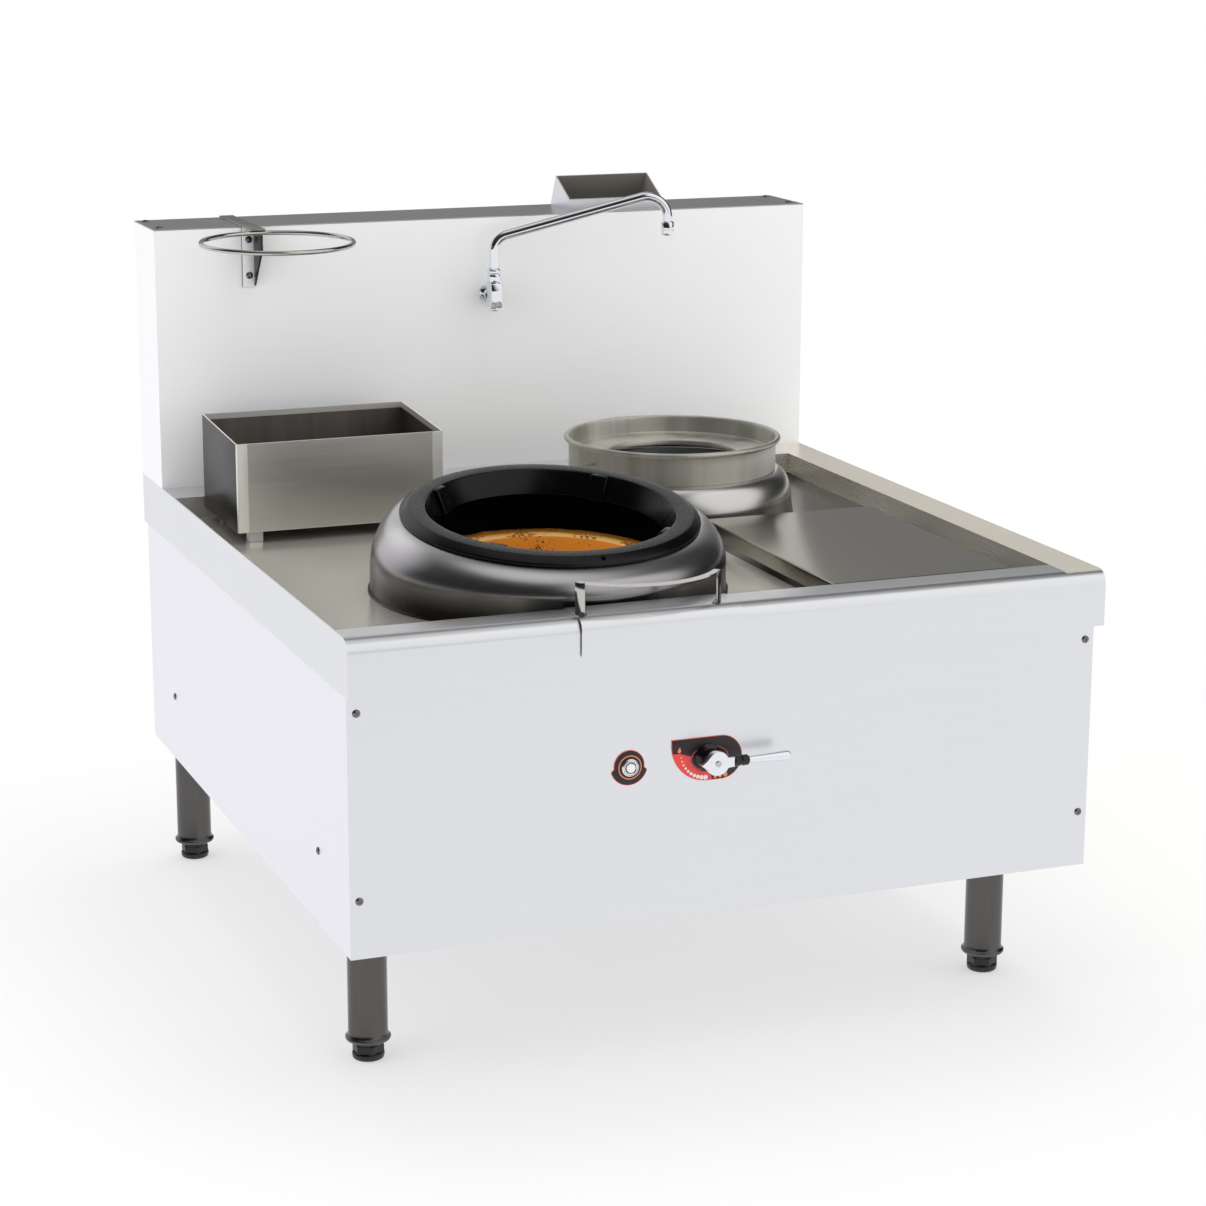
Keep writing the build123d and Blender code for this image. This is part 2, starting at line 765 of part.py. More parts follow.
chamber_floor = pan_z - chamber_depth
branch_bottom = chamber_floor + sheet
branch_length = duct_front + duct_depth - rear_y
branch_left = duct_left
with BuildPart() as flue_duct:
    for inset, mode in ((0, Mode.ADD), (sheet, Mode.SUBTRACT)):
        with BuildSketch(Plane.XY.offset(branch_bottom + inset)):
            with Locations(duct_middle):
                Rectangle(duct_width - 2 * inset, duct_depth - 2 * inset)
        extrude(amount=splash_top + duct_overlap - branch_bottom, mode=mode)
        with BuildSketch(Plane.XY.offset(branch_bottom + inset)):
            with Locations((branch_left + duct_branch_width / 2, rear_y + (branch_length - inset) / 2)):
                Rectangle(duct_branch_width - 2 * inset, branch_length - inset)
        extrude(amount=duct_branch_height - 2 * inset, mode=mode)
    # the branch ends on the round chamber
    with BuildSketch(Plane.XY.offset(branch_bottom)):
        with Locations((rear_x, rear_y)):
            Circle(chamber_radius + seat_gap)
    extrude(amount=duct_branch_height, mode=Mode.SUBTRACT)
save(flue_duct, "flue_duct")

# ---------------------------------------------------------------- tilted wok dome
ring_place = leaning(main_x, main_y - ring_shift, pan_z + ring_rise, ring_tilt)
ring_axis = Axis(ring_place.origin, ring_place.z_dir)
seat_place = ring_place.offset(-ring_height - seat_gap)


def dome_sections(inset):
    """Circles from the level wall up to the tilted seat of the iron ring."""
    top = seat_place.offset(-inset)
    with BuildSketch(Plane(origin=(main_x, main_y, pan_z))) as foot_section:
        Circle(dome_radius - inset)
    sections = [foot_section.sketch]
    for step in range(dome_steps):
        turn = dome_quarter * step / (dome_steps - 1)
        rise = math.sin(turn) / math.sin(dome_quarter)
        draw_in = (1 - math.cos(turn)) / (1 - math.cos(dome_quarter))
        wall_top = pan_z + dome_wall_height
        section = leaning(
            main_x,
            main_y + (top.origin.Y - main_y) * rise,
            wall_top + (top.origin.Z - wall_top) * rise,
            ring_tilt * rise,
        )
        with BuildSketch(section) as shoulder_section:
            Circle(dome_radius - inset - (dome_radius - ring_radius) * draw_in)
        sections.append(shoulder_section.sketch)
    return sections


with BuildPart() as main_dome:
    loft(dome_sections(0))
    loft(dome_sections(dome_sheet), mode=Mode.SUBTRACT)
    with BuildSketch(Plane.XY.offset(pan_z)):
        with Locations((main_x, main_y)):
            Circle(dome_radius + dome_lip)
            Circle(dome_radius - dome_sheet, mode=Mode.SUBTRACT)
    extrude(amount=dome_lip_height)
    with BuildSketch(seat_place):
        Circle(ring_opening + ring_wall + dome_hole_gap)
    extrude(amount=-2 * dome_sheet, mode=Mode.SUBTRACT)
save(main_dome, "main_dome")

# ---------------------------------------------------------------- iron wok ring
with BuildPart() as wok_ring:
    with BuildSketch(upright(ring_place)):
        with BuildLine():
            Polyline(
                (ring_opening, 0),
                (ring_face_radius, 0),
                (ring_radius, -ring_bevel),
                (ring_radius, -ring_height),
                (ring_opening + ring_wall, -ring_height),
                (ring_throat + ring_wall, -ring_skirt),
                (ring_throat, -ring_skirt),
                close=True,
            )
        make_face()
    revolve(axis=ring_axis)
    # ribs that carry the wok
    for rib in range(rib_count):
        with BuildSketch(radial(ring_place, rib_turn + rib * 360 / rib_count)):
            with BuildLine():
                Polyline(
                    (ring_opening + ring_wall / 2, 0),
                    (ring_opening - rib_reach, 0),
                    (ring_throat - rib_reach, -ring_skirt),
                    (ring_throat + ring_wall / 2, -ring_skirt),
                    close=True,
                )
            make_face()
        extrude(amount=rib_width / 2, both=True)
    with BuildSketch(ring_place):
        with PolarLocations(ring_hole_place[0], 1, start_angle=ring_hole_place[1]):
            Circle(ring_hole_radius)
    extrude(amount=-ring_bevel, mode=Mode.SUBTRACT)
save(wok_ring, "wok_ring")

# ---------------------------------------------------------------- furnace
channel_vector = Vector(rear_x - main_x, rear_y - main_y, 0)
channel_z = pan_z - channel_drop - channel_height / 2


def channel_plane(start):
    """Cross section of the heat channel, start millimetres from the burner axis."""
    origin = Vector(main_x, main_y, channel_z) + channel_vector.normalized() * start
    return Plane(origin=origin, x_dir=channel_vector.cross(Vector(0, 0, 1)), z_dir=channel_vector)


def channel_window(start, end):
    """Cut the opening of the heat channel through the wall between start and end."""
    with BuildSketch(channel_plane(start)) as window:
        Rectangle(channel_width - 2 * sheet, channel_height - 2 * sheet)
    extrude(window.sketch, amount=end - start, mode=Mode.SUBTRACT)


feed_x = main_x + gas_feed_offset
igniter_y = main_y + igniter_offset
with BuildPart() as burner_bowl:
    with BuildSketch(Plane.XY.offset(bowl_bottom)):
        with Locations((main_x, main_y)):
            Circle(bowl_radius)
    extrude(amount=bowl_depth + bowl_rise)
    with BuildSketch(Plane.XY.offset(pan_z)):
        with Locations((main_x, main_y)):
            Circle(bowl_radius + bowl_flange)
    extrude(amount=bowl_wall)
    with BuildSketch(Plane.XY.offset(bowl_floor)):
        with Locations((main_x, main_y)):
            Circle(bowl_radius - bowl_wall)
    extrude(amount=bowl_depth + bowl_rise, mode=Mode.SUBTRACT)
    with BuildSketch(Plane.XY.offset(bowl_bottom)):
        with Locations((main_x, main_y)):
            Circle(air_pipe_radius + seat_gap)
        with Locations((feed_x, main_y)):
            Circle(gas_feed_radius + seat_gap)
        with Locations((main_x, igniter_y)):
            Circle(igniter_radius + seat_gap)
    extrude(amount=bowl_wall, mode=Mode.SUBTRACT)
    channel_window(bowl_radius / 2, bowl_radius + bowl_wall)
save(burner_bowl, "burner_bowl")

brick_place = leaning(main_x, main_y - brick_shift, pan_z + brick_rise, brick_tilt)
throat_z = pan_z - brick_throat_depth
with BuildPart() as firebrick:
    with BuildSketch(Plane.XY.offset(bowl_floor)):
        with Locations((main_x, main_y)):
            Circle(bowl_radius - bowl_wall - brick_gap)
    extrude(amount=2 * bowl_depth)
    split(bisect_by=brick_place, keep=Keep.BOTTOM)
    # mouth, narrowing to the throat that holds the burner head
    with BuildSketch(brick_place):
        Circle(brick_mouth)
    with BuildSketch(Plane(origin=(main_x, main_y, throat_z))):
        Circle(brick_throat)
    loft(ruled=True, mode=Mode.SUBTRACT)
    with BuildSketch(Plane.XY.offset(bowl_floor)):
        with Locations((main_x, main_y)):
            Circle(brick_throat)
    extrude(amount=throat_z - bowl_floor, mode=Mode.SUBTRACT)
    channel_window(brick_throat / 2, bowl_radius + bowl_wall)
save(firebrick, "firebrick")

burner_place = Plane(origin=(main_x, main_y, bowl_floor))
neck_radius = air_pipe_radius + seat_gap + burner_wall
with BuildPart() as burner_head:
    with BuildSketch(upright(burner_place)):
        with BuildLine():
            Polyline(
                (air_pipe_radius + seat_gap, 0),
                (neck_radius, 0),
                (neck_radius, burner_base),
                (burner_radius, burner_base + burner_wall),
                (burner_radius, burner_base + burner_height - 2 * burner_wall),
                (burner_radius - 2 * burner_wall, burner_base + burner_height),
                (0, burner_base + burner_height),
                (0, burner_base + burner_height - burner_wall),
                (burner_radius - 2.5 * burner_wall, burner_base + burner_height - burner_wall),
                (burner_radius - burner_wall, burner_base + burner_height - 2.5 * burner_wall),
                (burner_radius - burner_wall, burner_base + 2 * burner_wall),
                (air_pipe_radius + seat_gap, burner_base + burner_wall),
                close=True,
            )
        make_face()
    revolve(axis=Axis(burner_place.origin, burner_place.z_dir))
    with BuildSketch(burner_place.offset(burner_base + burner_height)):
        with PolarLocations(burner_port_circle, burner_port_count):
            Circle(burner_port)
        with PolarLocations(burner_port_circle / 2, burner_port_count // 2):
            Circle(burner_port)
    extrude(amount=-burner_wall, mode=Mode.SUBTRACT)
save(burner_head, "burner_head")

with BuildPart() as igniter_rod:
    with BuildSketch(Plane.XY.offset(bowl_bottom)):
        with Locations((main_x, igniter_y)):
            Circle(igniter_radius)
    extrude(amount=bowl_wall + burner_base + burner_height + burner_wall)
save(igniter_rod, "igniter_rod")

with BuildPart() as ignition_module:
    with BuildSketch(Plane.XY.offset(bowl_bottom)):
        with Locations((main_x, igniter_y)):
            Rectangle(igniter_module[0], igniter_module[1])
    extrude(amount=-igniter_module[2])
    fillet(ignition_module.edges().filter_by(Axis.Z), 4)
save(ignition_module, "ignition_module")

# ---------------------------------------------------------------- heat channel and rear chamber
with BuildPart() as heat_channel:
    with BuildSketch(channel_plane(0)):
        Rectangle(channel_width, channel_height)
        Rectangle(channel_width - 2 * sheet, channel_height - 2 * sheet, mode=Mode.SUBTRACT)
    extrude(amount=channel_vector.length)
    with BuildSketch(Plane.XY.offset(channel_z - channel_height)):
        with Locations((main_x, main_y)):
            Circle(bowl_radius + seat_gap)
        with Locations((rear_x, rear_y)):
            Circle(chamber_radius + seat_gap)
    extrude(amount=2 * channel_height, mode=Mode.SUBTRACT)
save(heat_channel, "heat_channel")

with BuildPart() as rear_chamber:
    with BuildSketch(Plane.XY.offset(chamber_floor)):
        with Locations((rear_x, rear_y)):
            Circle(chamber_radius)
    extrude(amount=chamber_depth + chamber_rise)
    with BuildSketch(Plane.XY.offset(pan_z)):
        with Locations((rear_x, rear_y)):
            Circle(chamber_radius + chamber_flange)
    extrude(amount=sheet)
    with BuildSketch(Plane.XY.offset(chamber_floor + sheet)):
        with Locations((rear_x, rear_y)):
            Circle(chamber_radius - sheet)
    extrude(amount=chamber_depth + chamber_rise, mode=Mode.SUBTRACT)
    channel_window(channel_vector.length - 1.2 * chamber_radius, channel_vector.length)
    with BuildSketch(Plane.XY.offset(branch_bottom + sheet)):
        with Locations((branch_left + duct_branch_width / 2, rear_y + chamber_radius)):
            Rectangle(duct_branch_width - 2 * sheet, 2 * chamber_radius)
    extrude(amount=duct_branch_height - 2 * sheet, mode=Mode.SUBTRACT)
save(rear_chamber, "rear_chamber")

# ---------------------------------------------------------------- rear dome and pot ring
rear_place = Plane(origin=(rear_x, rear_y, pan_z))
rear_axis = Axis(rear_place.origin, rear_place.z_dir)
with BuildPart() as rear_dome:
    for inset, mode in ((0, Mode.ADD), (dome_sheet, Mode.SUBTRACT)):
        with BuildSketch(upright(rear_place)):
            with BuildLine():
                Polyline(
                    (0, rear_dome_height - inset),
                    (0, 0),
                    (rear_dome_radius - inset, 0),
                    (rear_dome_radius - rear_dome_draft - inset, rear_dome_wall),
                )
                EllipticalCenterArc(
                    (pot_ring_radius - inset, rear_dome_wall),
                    rear_dome_radius - rear_dome_draft - pot_ring_radius,
                    rear_dome_height - inset - rear_dome_wall,
                    start_angle=0,
                    arc_size=90,
                )
                Line((pot_ring_radius - inset, rear_dome_height - inset), (0, rear_dome_height - inset))
            make_face()
        revolve(axis=rear_axis, mode=mode)
    with BuildSketch(rear_place.offset(rear_dome_height)):
        Circle(rear_dome_hole)
    extrude(amount=-2 * dome_sheet, mode=Mode.SUBTRACT)
save(rear_dome, "rear_dome")

pot_place = rear_place.offset(rear_dome_height + seat_gap)
pin_outward = Vector(math.cos(pin_turn), math.sin(pin_turn), 0)
pin_vector = pin_outward * math.cos(pin_slope) + Vector(0, 0, math.sin(pin_slope))
pin_start = pot_place.offset(pot_ledge).origin + pin_outward * (pot_ring_radius - pot_ring_sheet)
with BuildPart() as pot_ring:
    with BuildSketch(upright(pot_place)):
        with Locations((pot_ring_radius - pot_ring_sheet / 2, (pot_ring_height - pot_bead) / 2)):
            Rectangle(pot_ring_sheet, pot_ring_height - pot_bead)
        with Locations((pot_ring_radius + pot_bead - pot_ring_sheet / 2, pot_ring_height - pot_bead)):
            Circle(pot_bead)
        with Locations(((pot_ring_radius + pot_hole) / 2, pot_ledge)):
            Rectangle(pot_ring_radius - pot_hole, pot_ring_sheet)
        with Locations((pot_hole + pot_ring_sheet / 2, pot_ledge - pot_lip / 2)):
            Rectangle(pot_ring_sheet, pot_lip)
    revolve(axis=rear_axis)
    with BuildSketch(Plane(origin=pin_start, z_dir=pin_vector)):
        Circle(pin_radius)
    extrude(amount=pin_length)
save(pot_ring, "pot_ring")

# ---------------------------------------------------------------- cover plate over the gutter
with BuildPart() as cover_plate:
    with BuildSketch(Plane.XY.offset(worktop_height)):
        with Locations(cover_middle):
            Rectangle(cover_width, cover_length)
    extrude(amount=-sheet)
    # side skirts with a supporting tab at each end
    for side in (-1, 1):
        skirt_x = cover_middle[0] + side * (cover_width - sheet) / 2
        with BuildSketch(Plane.XY.offset(worktop_height)):
            with Locations((skirt_x, cover_middle[1])):
                Rectangle(sheet, cover_length)
        extrude(amount=-cover_skirt)
        with BuildSketch(Plane.XY.offset(worktop_height)):
            for end in (-1, 1):
                with Locations((skirt_x, cover_middle[1] + end * (cover_length - cover_tab) / 2)):
                    Rectangle(sheet, cover_tab)
        extrude(amount=seat_gap - pan_depth)
save(cover_plate, "cover_plate")

# ---------------------------------------------------------------- utensil box
box_rear = pan_rear - box_rear_gap
box_front = box_rear - box_depth
box_floor = pan_z + box_lift


def box_side(inset, floor, top_inset):
    """Side view of the box, whose top edge climbs to the rear."""
    slope = (box_rear_height - box_front_height) / box_depth
    front_z = box_floor + box_front_height - top_inset
    Polyline(
        (box_front + inset, floor),
        (box_front + inset, front_z + slope * inset),
        (box_rear - inset, front_z + slope * (box_depth - inset)),
        (box_rear - inset, floor),
        close=True,
    )


with BuildPart() as utensil_box:
    with BuildSketch(Plane.YZ.offset(left + box_left)):
        with BuildLine():
            box_side(0, box_floor, 0)
        make_face()
    extrude(amount=box_width)
    with BuildSketch(Plane.YZ.offset(left + box_left + box_sheet)):
        with BuildLine():
            box_side(box_sheet, box_floor + box_sheet, box_hem)
        make_face()
    extrude(amount=box_width - 2 * box_sheet, mode=Mode.SUBTRACT)
    # the hem along the rim is folded double
    with BuildSketch(Plane.YZ.offset(left + box_left + 2 * box_sheet)):
        with BuildLine():
            box_side(2 * box_sheet, box_floor + box_sheet, -box_hem)
        make_face()
    extrude(amount=box_width - 4 * box_sheet, mode=Mode.SUBTRACT)
save(utensil_box, "utensil_box")

box_middle = (left + box_left + box_width / 2, (box_front + box_rear) / 2)
with BuildPart() as utensil_box_feet:
    with BuildSketch(Plane.XY.offset(pan_z + seat_gap)):
        with Locations(box_middle):
            with GridLocations(
                box_width - 2 * box_foot_inset[0] - box_foot,
                box_depth - 2 * box_foot_inset[1] - box_foot,
                2,
                2,
            ):
                Rectangle(box_foot, box_foot)
    extrude(amount=box_lift - seat_gap)
save(utensil_box_feet, "utensil_box_feet")

# ---------------------------------------------------------------- guard over the front rim
guard_bend = bullnose_radius + guard_front_gap
guard_under = worktop_height + seat_gap
guard_top = guard_under + guard_sheet
bend_y = front + bullnose_radius
bend_z = guard_under - guard_bend
hook_y = pan_front + seat_gap
guard_bottom = worktop_height - guard_drop
with BuildPart() as front_guard:
    with BuildSketch(Plane.YZ.offset(left + guard_left)):
        with BuildLine():
            Polyline((hook_y, guard_top - guard_hook), (hook_y, guard_under), (bend_y, guard_under))
            CenterArc((bend_y, bend_z), guard_bend, 90, 90)
            Polyline(
                (bend_y - guard_bend, bend_z),
                (bend_y - guard_bend, guard_bottom),
                (bend_y - guard_bend - guard_sheet, guard_bottom),
                (bend_y - guard_bend - guard_sheet, bend_z),
            )
            CenterArc((bend_y, bend_z), guard_bend + guard_sheet, 90, 90)
            Polyline(
                (bend_y, guard_top),
                (hook_y + guard_sheet, guard_top),
                (hook_y + guard_sheet, guard_top - guard_hook),
                (hook_y, guard_top - guard_hook),
            )
        make_face()
    extrude(amount=guard_width)
    # cut-off lower right corner
    with BuildSketch(front_face(bend_y - guard_bend)):
        with BuildLine():
            Polyline(
                (left + guard_left + guard_width, guard_bottom),
                (left + guard_left + guard_width, guard_bottom + guard_corner),
                (left + guard_left + guard_width - guard_corner, guard_bottom),
                close=True,
            )
        make_face()
    extrude(amount=2 * guard_sheet, mode=Mode.SUBTRACT)
save(front_guard, "front_guard")

handle_centre = (left + handle_place, front + handle_centre_inset)
handle_top = guard_top + handle_height
span_turn = math.radians(handle_angle) + handle_leg / handle_radius / 2
span_reach = (2 * handle_radius * math.sin(span_turn), 2 * handle_radius * math.cos(span_turn))
with BuildPart() as guard_handle:
    # flat strip bowed towards the cook
    with BuildSketch(Plane.XY.offset(handle_top)):
        with Locations(handle_centre):
            Circle(handle_edge)
            Circle(handle_radius - handle_strip / 2, mode=Mode.SUBTRACT)
        with BuildLine():
            Polyline(
                handle_centre,
                (handle_centre[0] - span_reach[0], handle_centre[1] - span_reach[1]),
                (handle_centre[0] + span_reach[0], handle_centre[1] - span_reach[1]),
                close=True,
            )
        make_face(mode=Mode.INTERSECT)
    extrude(amount=-handle_sheet)
    # legs folded down from its outer edge, each with a short welded foot
    for side in (-1, 1):
        turn = math.radians(side * handle_angle)
        outward = Vector(math.sin(turn), -math.cos(turn), 0)
        leg_base = Vector(handle_centre[0], handle_centre[1], guard_top)
        leg_foot = leg_base + outward * (handle_edge - handle_sheet / 2)
        leg_plane = Plane(origin=leg_foot, x_dir=outward, z_dir=(0, 0, 1))
        with BuildSketch(leg_plane):
            Rectangle(handle_sheet, handle_leg)
        extrude(amount=handle_height)
        with BuildSketch(leg_plane):
            with Locations((handle_sheet / 2 - handle_foot / 2, 0)):
                Rectangle(handle_foot, handle_leg)
        extrude(amount=handle_sheet)
save(guard_handle, "guard_handle")

# ---------------------------------------------------------------- ladle ring and its bracket
ladle_y = bracket_front + ladle_sheet - ladle_reach - ladle_ring_radius + ladle_weld - ladle_wire
with BuildPart() as ladle_ring:
    with BuildSketch(upright(Plane(origin=(ladle_x, ladle_y, splash_top - seat_gap - ladle_wire)))):
        with Locations((ladle_ring_radius, 0)):
            Circle(ladle_wire)
    revolve(axis=Axis((ladle_x, ladle_y, 0), (0, 0, 1)))
save(ladle_ring, "ladle_ring")

gusset_reach, gusset_square = ladle_gusset
with BuildPart() as ladle_bracket:
    # strap along the top of the splash back
    with BuildSketch(Plane.XY.offset(splash_top)):
        with Locations((ladle_x, (rear + splash_front - ladle_reach) / 2)):
            Rectangle(ladle_strap, splash_depth + ladle_reach)
    extrude(amount=ladle_sheet)
    # plate screwed to the front
    with BuildSketch(front_face(splash_front)):
        with Locations((ladle_x, splash_top - ladle_plate / 2)):
            Rectangle(ladle_plate_width, ladle_plate)
    extrude(amount=ladle_sheet)
    # gusset under the overhanging strap
    with BuildSketch(Plane.YZ.offset(ladle_x + ladle_plate_width / 2 - ladle_sheet)):
        with BuildLine():
            Polyline(
                (splash_front, splash_top),
                (splash_front - gusset_reach, splash_top),
                (splash_front - gusset_reach, splash_top - gusset_square),
                (bracket_front, splash_top - ladle_plate),
                (splash_front, splash_top - ladle_plate),
                close=True,
            )
        make_face()
    extrude(amount=ladle_sheet)
    drill(ladle_screw_planes)
save(ladle_bracket, "ladle_bracket")

with BuildPart() as ladle_screws:
    screws(ladle_screw_planes)
save(ladle_screws, "ladle_screws")

with BuildPart() as panel_screws:
    screws(front_screw_planes + side_screw_planes + top_screw_planes)
save(panel_screws, "panel_screws")

# ---------------------------------------------------------------- swivel tap
tap_place_plane = Plane(origin=(tap_x, tap_y, tap_z))
body_rear = tap_y + tap_body_size[1] / 2
with BuildPart() as tap_body:
    with BuildSketch(tap_place_plane):
        Rectangle(tap_body_size[0], tap_body_size[1])
    extrude(amount=tap_body_size[2])
    chamfer(tap_body.edges().filter_by(Axis.Z), 2)
    # wall stub
    with BuildSketch(front_face(splash_front + sheet)):
        with Locations((tap_x, stub_z)):
            Circle(tap_stub_radius)
    extrude(amount=splash_front + sheet - body_rear + 2)
    with BuildSketch(tap_place_plane.offset(tap_body_size[2])):
        Circle(spout_radius + running_fit)
    extrude(amount=-tap_socket, mode=Mode.SUBTRACT)
    with BuildSketch(front_face(splash_front + sheet)):
        with Locations((tap_x, stub_z)):
            Circle(water_pipe_bore)
    extrude(amount=splash_front + sheet - tap_y, mode=Mode.SUBTRACT)
save(tap_body, "tap_body")

with BuildPart() as tap_flange:
    with BuildSketch(front_face(splash_front)):
        with Locations((tap_x, stub_z)):
            Circle(tap_flange_radius)
            Circle(tap_stub_radius + running_fit, mode=Mode.SUBTRACT)
    extrude(amount=tap_flange_sheet)
save(tap_flange, "tap_flange")

with BuildPart() as tap_collar:
    with BuildSketch(tap_place_plane.offset(tap_body_size[2])):
        Circle(tap_collar_radius)
        Circle(spout_radius + running_fit, mode=Mode.SUBTRACT)
    extrude(amount=tap_collar_height)
    chamfer(tap_collar.edges().group_by(Axis.Z)[-1].sort_by(SortBy.RADIUS)[-1], 1)
save(tap_collar, "tap_collar")

spout_side = Vector(math.cos(spout_swing), math.sin(spout_swing), 0)
spout_foot = Vector(tap_x, tap_y, tap_z + tap_body_size[2] - tap_socket + seat_gap)
spout_end = Vector(tap_x, tap_y, tap_z + nozzle_rise + nozzle_height) + spout_side * spout_length
with BuildPart() as tap_spout:
    with BuildLine():
        FilletPolyline(
            spout_foot,
            (tap_x, tap_y, tap_z + spout_rise),
            Vector(tap_x, tap_y, tap_z + spout_top) + spout_side * spout_length,
            spout_end,
            radius=spout_bends,
        )
    with BuildSketch(Plane(origin=spout_foot)):
        Circle(spout_radius)
        Circle(spout_radius - spout_wall, mode=Mode.SUBTRACT)
    sweep()
save(tap_spout, "tap_spout")

with BuildPart() as tap_nozzle:
    with BuildSketch(Plane(origin=spout_end)):
        Circle(nozzle_radius)
        Circle(spout_radius - spout_wall, mode=Mode.SUBTRACT)
    extrude(amount=-nozzle_height)
    chamfer(tap_nozzle.edges().group_by(Axis.Z)[0].sort_by(SortBy.RADIUS)[-1], 1.5)
    chamfer(tap_nozzle.edges().group_by(Axis.Z)[-1].sort_by(SortBy.RADIUS)[-1], 1.5)
save(tap_nozzle, "tap_nozzle")

pipe_start = Vector(tap_x, splash_front + sheet, stub_z)
with BuildPart() as water_pipe:
    with BuildLine():
        FilletPolyline(
            pipe_start,
            (tap_x, water_pipe_y, stub_z),
            (tap_x, water_pipe_y, water_inlet_z),
            (tap_x, rear, water_inlet_z),
            radius=water_pipe_bend,
        )
    with BuildSketch(Plane(origin=pipe_start, z_dir=(0, 1, 0))):
        Circle(water_pipe_radius)
        Circle(water_pipe_bore, mode=Mode.SUBTRACT)
    sweep()
    # union behind the rear panel
    with BuildSketch(front_face(rear)):
        with Locations((tap_x, water_inlet_z)):
            Circle(water_union_radius)
            Circle(water_pipe_bore, mode=Mode.SUBTRACT)
    extrude(amount=water_union_length)
save(water_pipe, "water_pipe")

# ---------------------------------------------------------------- start button
with BuildPart() as button_badge:
    with BuildSketch(front_face(panel_front)):
        with Locations((button_x, button_z)):
            Circle(button_badge_skirt)
            with Locations((0, button_badge_skirt)):
                Rectangle(2 * button_badge_skirt, 2 * button_badge_skirt, mode=Mode.SUBTRACT)
            Circle(button_badge_radius)
            Circle(bezel_neck + seat_gap, mode=Mode.SUBTRACT)
    extrude(amount=badge_sheet)
save(button_badge, "button_badge")

bezel_front = badge_front - bezel_height
button_place_plane = Plane(origin=(button_x, bezel_front, button_z), x_dir=(1, 0, 0), z_dir=(0, -1, 0))
with BuildPart() as button_bezel:
    with BuildSketch(button_place_plane):
        Circle(bezel_radius)
        Circle(button_radius + seat_gap, mode=Mode.SUBTRACT)
    extrude(amount=-bezel_height)
    chamfer(button_bezel.edges().group_by(Axis.Y)[0].sort_by(SortBy.RADIUS)[-1], 1.5)
    with BuildSketch(button_place_plane.offset(-bezel_height)):
        Circle(bezel_neck)
        Circle(button_radius + seat_gap, mode=Mode.SUBTRACT)
    extrude(amount=-bezel_neck_length)
save(button_bezel, "button_bezel")

with BuildPart() as start_button:
    with BuildSketch(button_place_plane.offset(button_height)):
        Circle(button_radius)
    extrude(amount=-button_depth)
    fillet(start_button.edges().group_by(Axis.Y)[0], 0.8)
save(start_button, "start_button")

switch_front = bezel_front + bezel_height + bezel_neck_length
with BuildPart() as button_switch:
    with BuildSketch(front_face(switch_front)):
        with Locations((button_x, button_z)):
            Circle(switch_radius)
    extrude(amount=-switch_length)
save(button_switch, "button_switch")

# ---------------------------------------------------------------- burner lever
badge_width, badge_height = control_badge
badge_round = badge_height / 2
badge_left = lever_x - control_badge_left
badge_top = lever_z + control_badge_rise
with BuildPart() as lever_badge:
    # square at the top left, round elsewhere
    with BuildSketch(front_face(panel_front)):
        with Locations((badge_left + badge_width - badge_round, badge_top - badge_round)):
            Circle(badge_round)
        with Locations((badge_left + badge_round, badge_top - badge_round)):
            Circle(badge_round)
        with Locations((badge_left + badge_width / 2, badge_top - badge_round)):
            Rectangle(badge_width - 2 * badge_round, badge_height)
        with Locations((badge_left + badge_round / 2, badge_top - badge_round / 2)):
            Rectangle(badge_round, badge_round)
        with Locations((lever_x, lever_z)):
            Circle(shaft_radius + 1, mode=Mode.SUBTRACT)
    extrude(amount=badge_sheet)
save(lever_badge, "lever_badge")

lever_base_plane = Plane(origin=(lever_x, badge_front, lever_z), x_dir=(1, 0, 0), z_dir=(0, -1, 0))
lever_axis = Axis(lever_base_plane.origin, lever_base_plane.z_dir)
with BuildPart() as lever_hub:
    with BuildSketch(upright(lever_base_plane)):
        with BuildLine():
            Polyline(
                (shaft_radius + running_fit, 0),
                (hub_radius, 0),
                (hub_radius, 4),
                (hub_tip_radius, hub_height),
                (shaft_radius + running_fit, hub_height),
                close=True,
            )
        make_face()
    revolve(axis=lever_axis)
save(lever_hub, "lever_hub")

head_place = lever_base_plane.offset(hub_height + seat_gap)
arm_height = lever_head_depth / 2
with BuildPart() as lever_head:
    with BuildSketch(head_place):
        Circle(lever_head_radius)
        # pointer
        with BuildLine():
            Polyline(
                (-lever_pointer, 0),
                (-lever_head_radius * 0.8, lever_pointer_width / 2),
                (-lever_head_radius * 0.8, -lever_pointer_width / 2),
                close=True,
            )
        make_face()
        # neck towards the arm
        with BuildLine():
            Polyline(
                (0, lever_head_radius),
                (lever_collar_start, lever_neck_width / 2),
                (lever_collar_start, -lever_neck_width / 2),
                (0, -lever_head_radius),
                close=True,
            )
        make_face()
    extrude(amount=lever_head_depth)
    chamfer(lever_head.faces().sort_by(Axis.Y)[0].outer_wire().edges(), 1)
    # shaft down into the valve
    with BuildSketch(head_place):
        Circle(shaft_radius)
    extrude(amount=-(hub_height + seat_gap + badge_sheet + sheet + valve_socket))
save(lever_head, "lever_head")

arm_place = Plane(
    origin=head_place.offset(arm_height).origin + Vector(lever_collar_start, 0, 0),
    x_dir=(0, 0, 1),
    z_dir=(1, 0, 0),
)
collar_length = lever_collar_end - lever_collar_start
with BuildPart() as lever_collar:
    with BuildSketch(arm_place):
        Circle(lever_collar_radius)
        Circle(lever_core_radius, mode=Mode.SUBTRACT)
    extrude(amount=collar_length)
    chamfer(lever_collar.edges().group_by(Axis.X)[-1].sort_by(SortBy.RADIUS)[-1], 2)
save(lever_collar, "lever_collar")

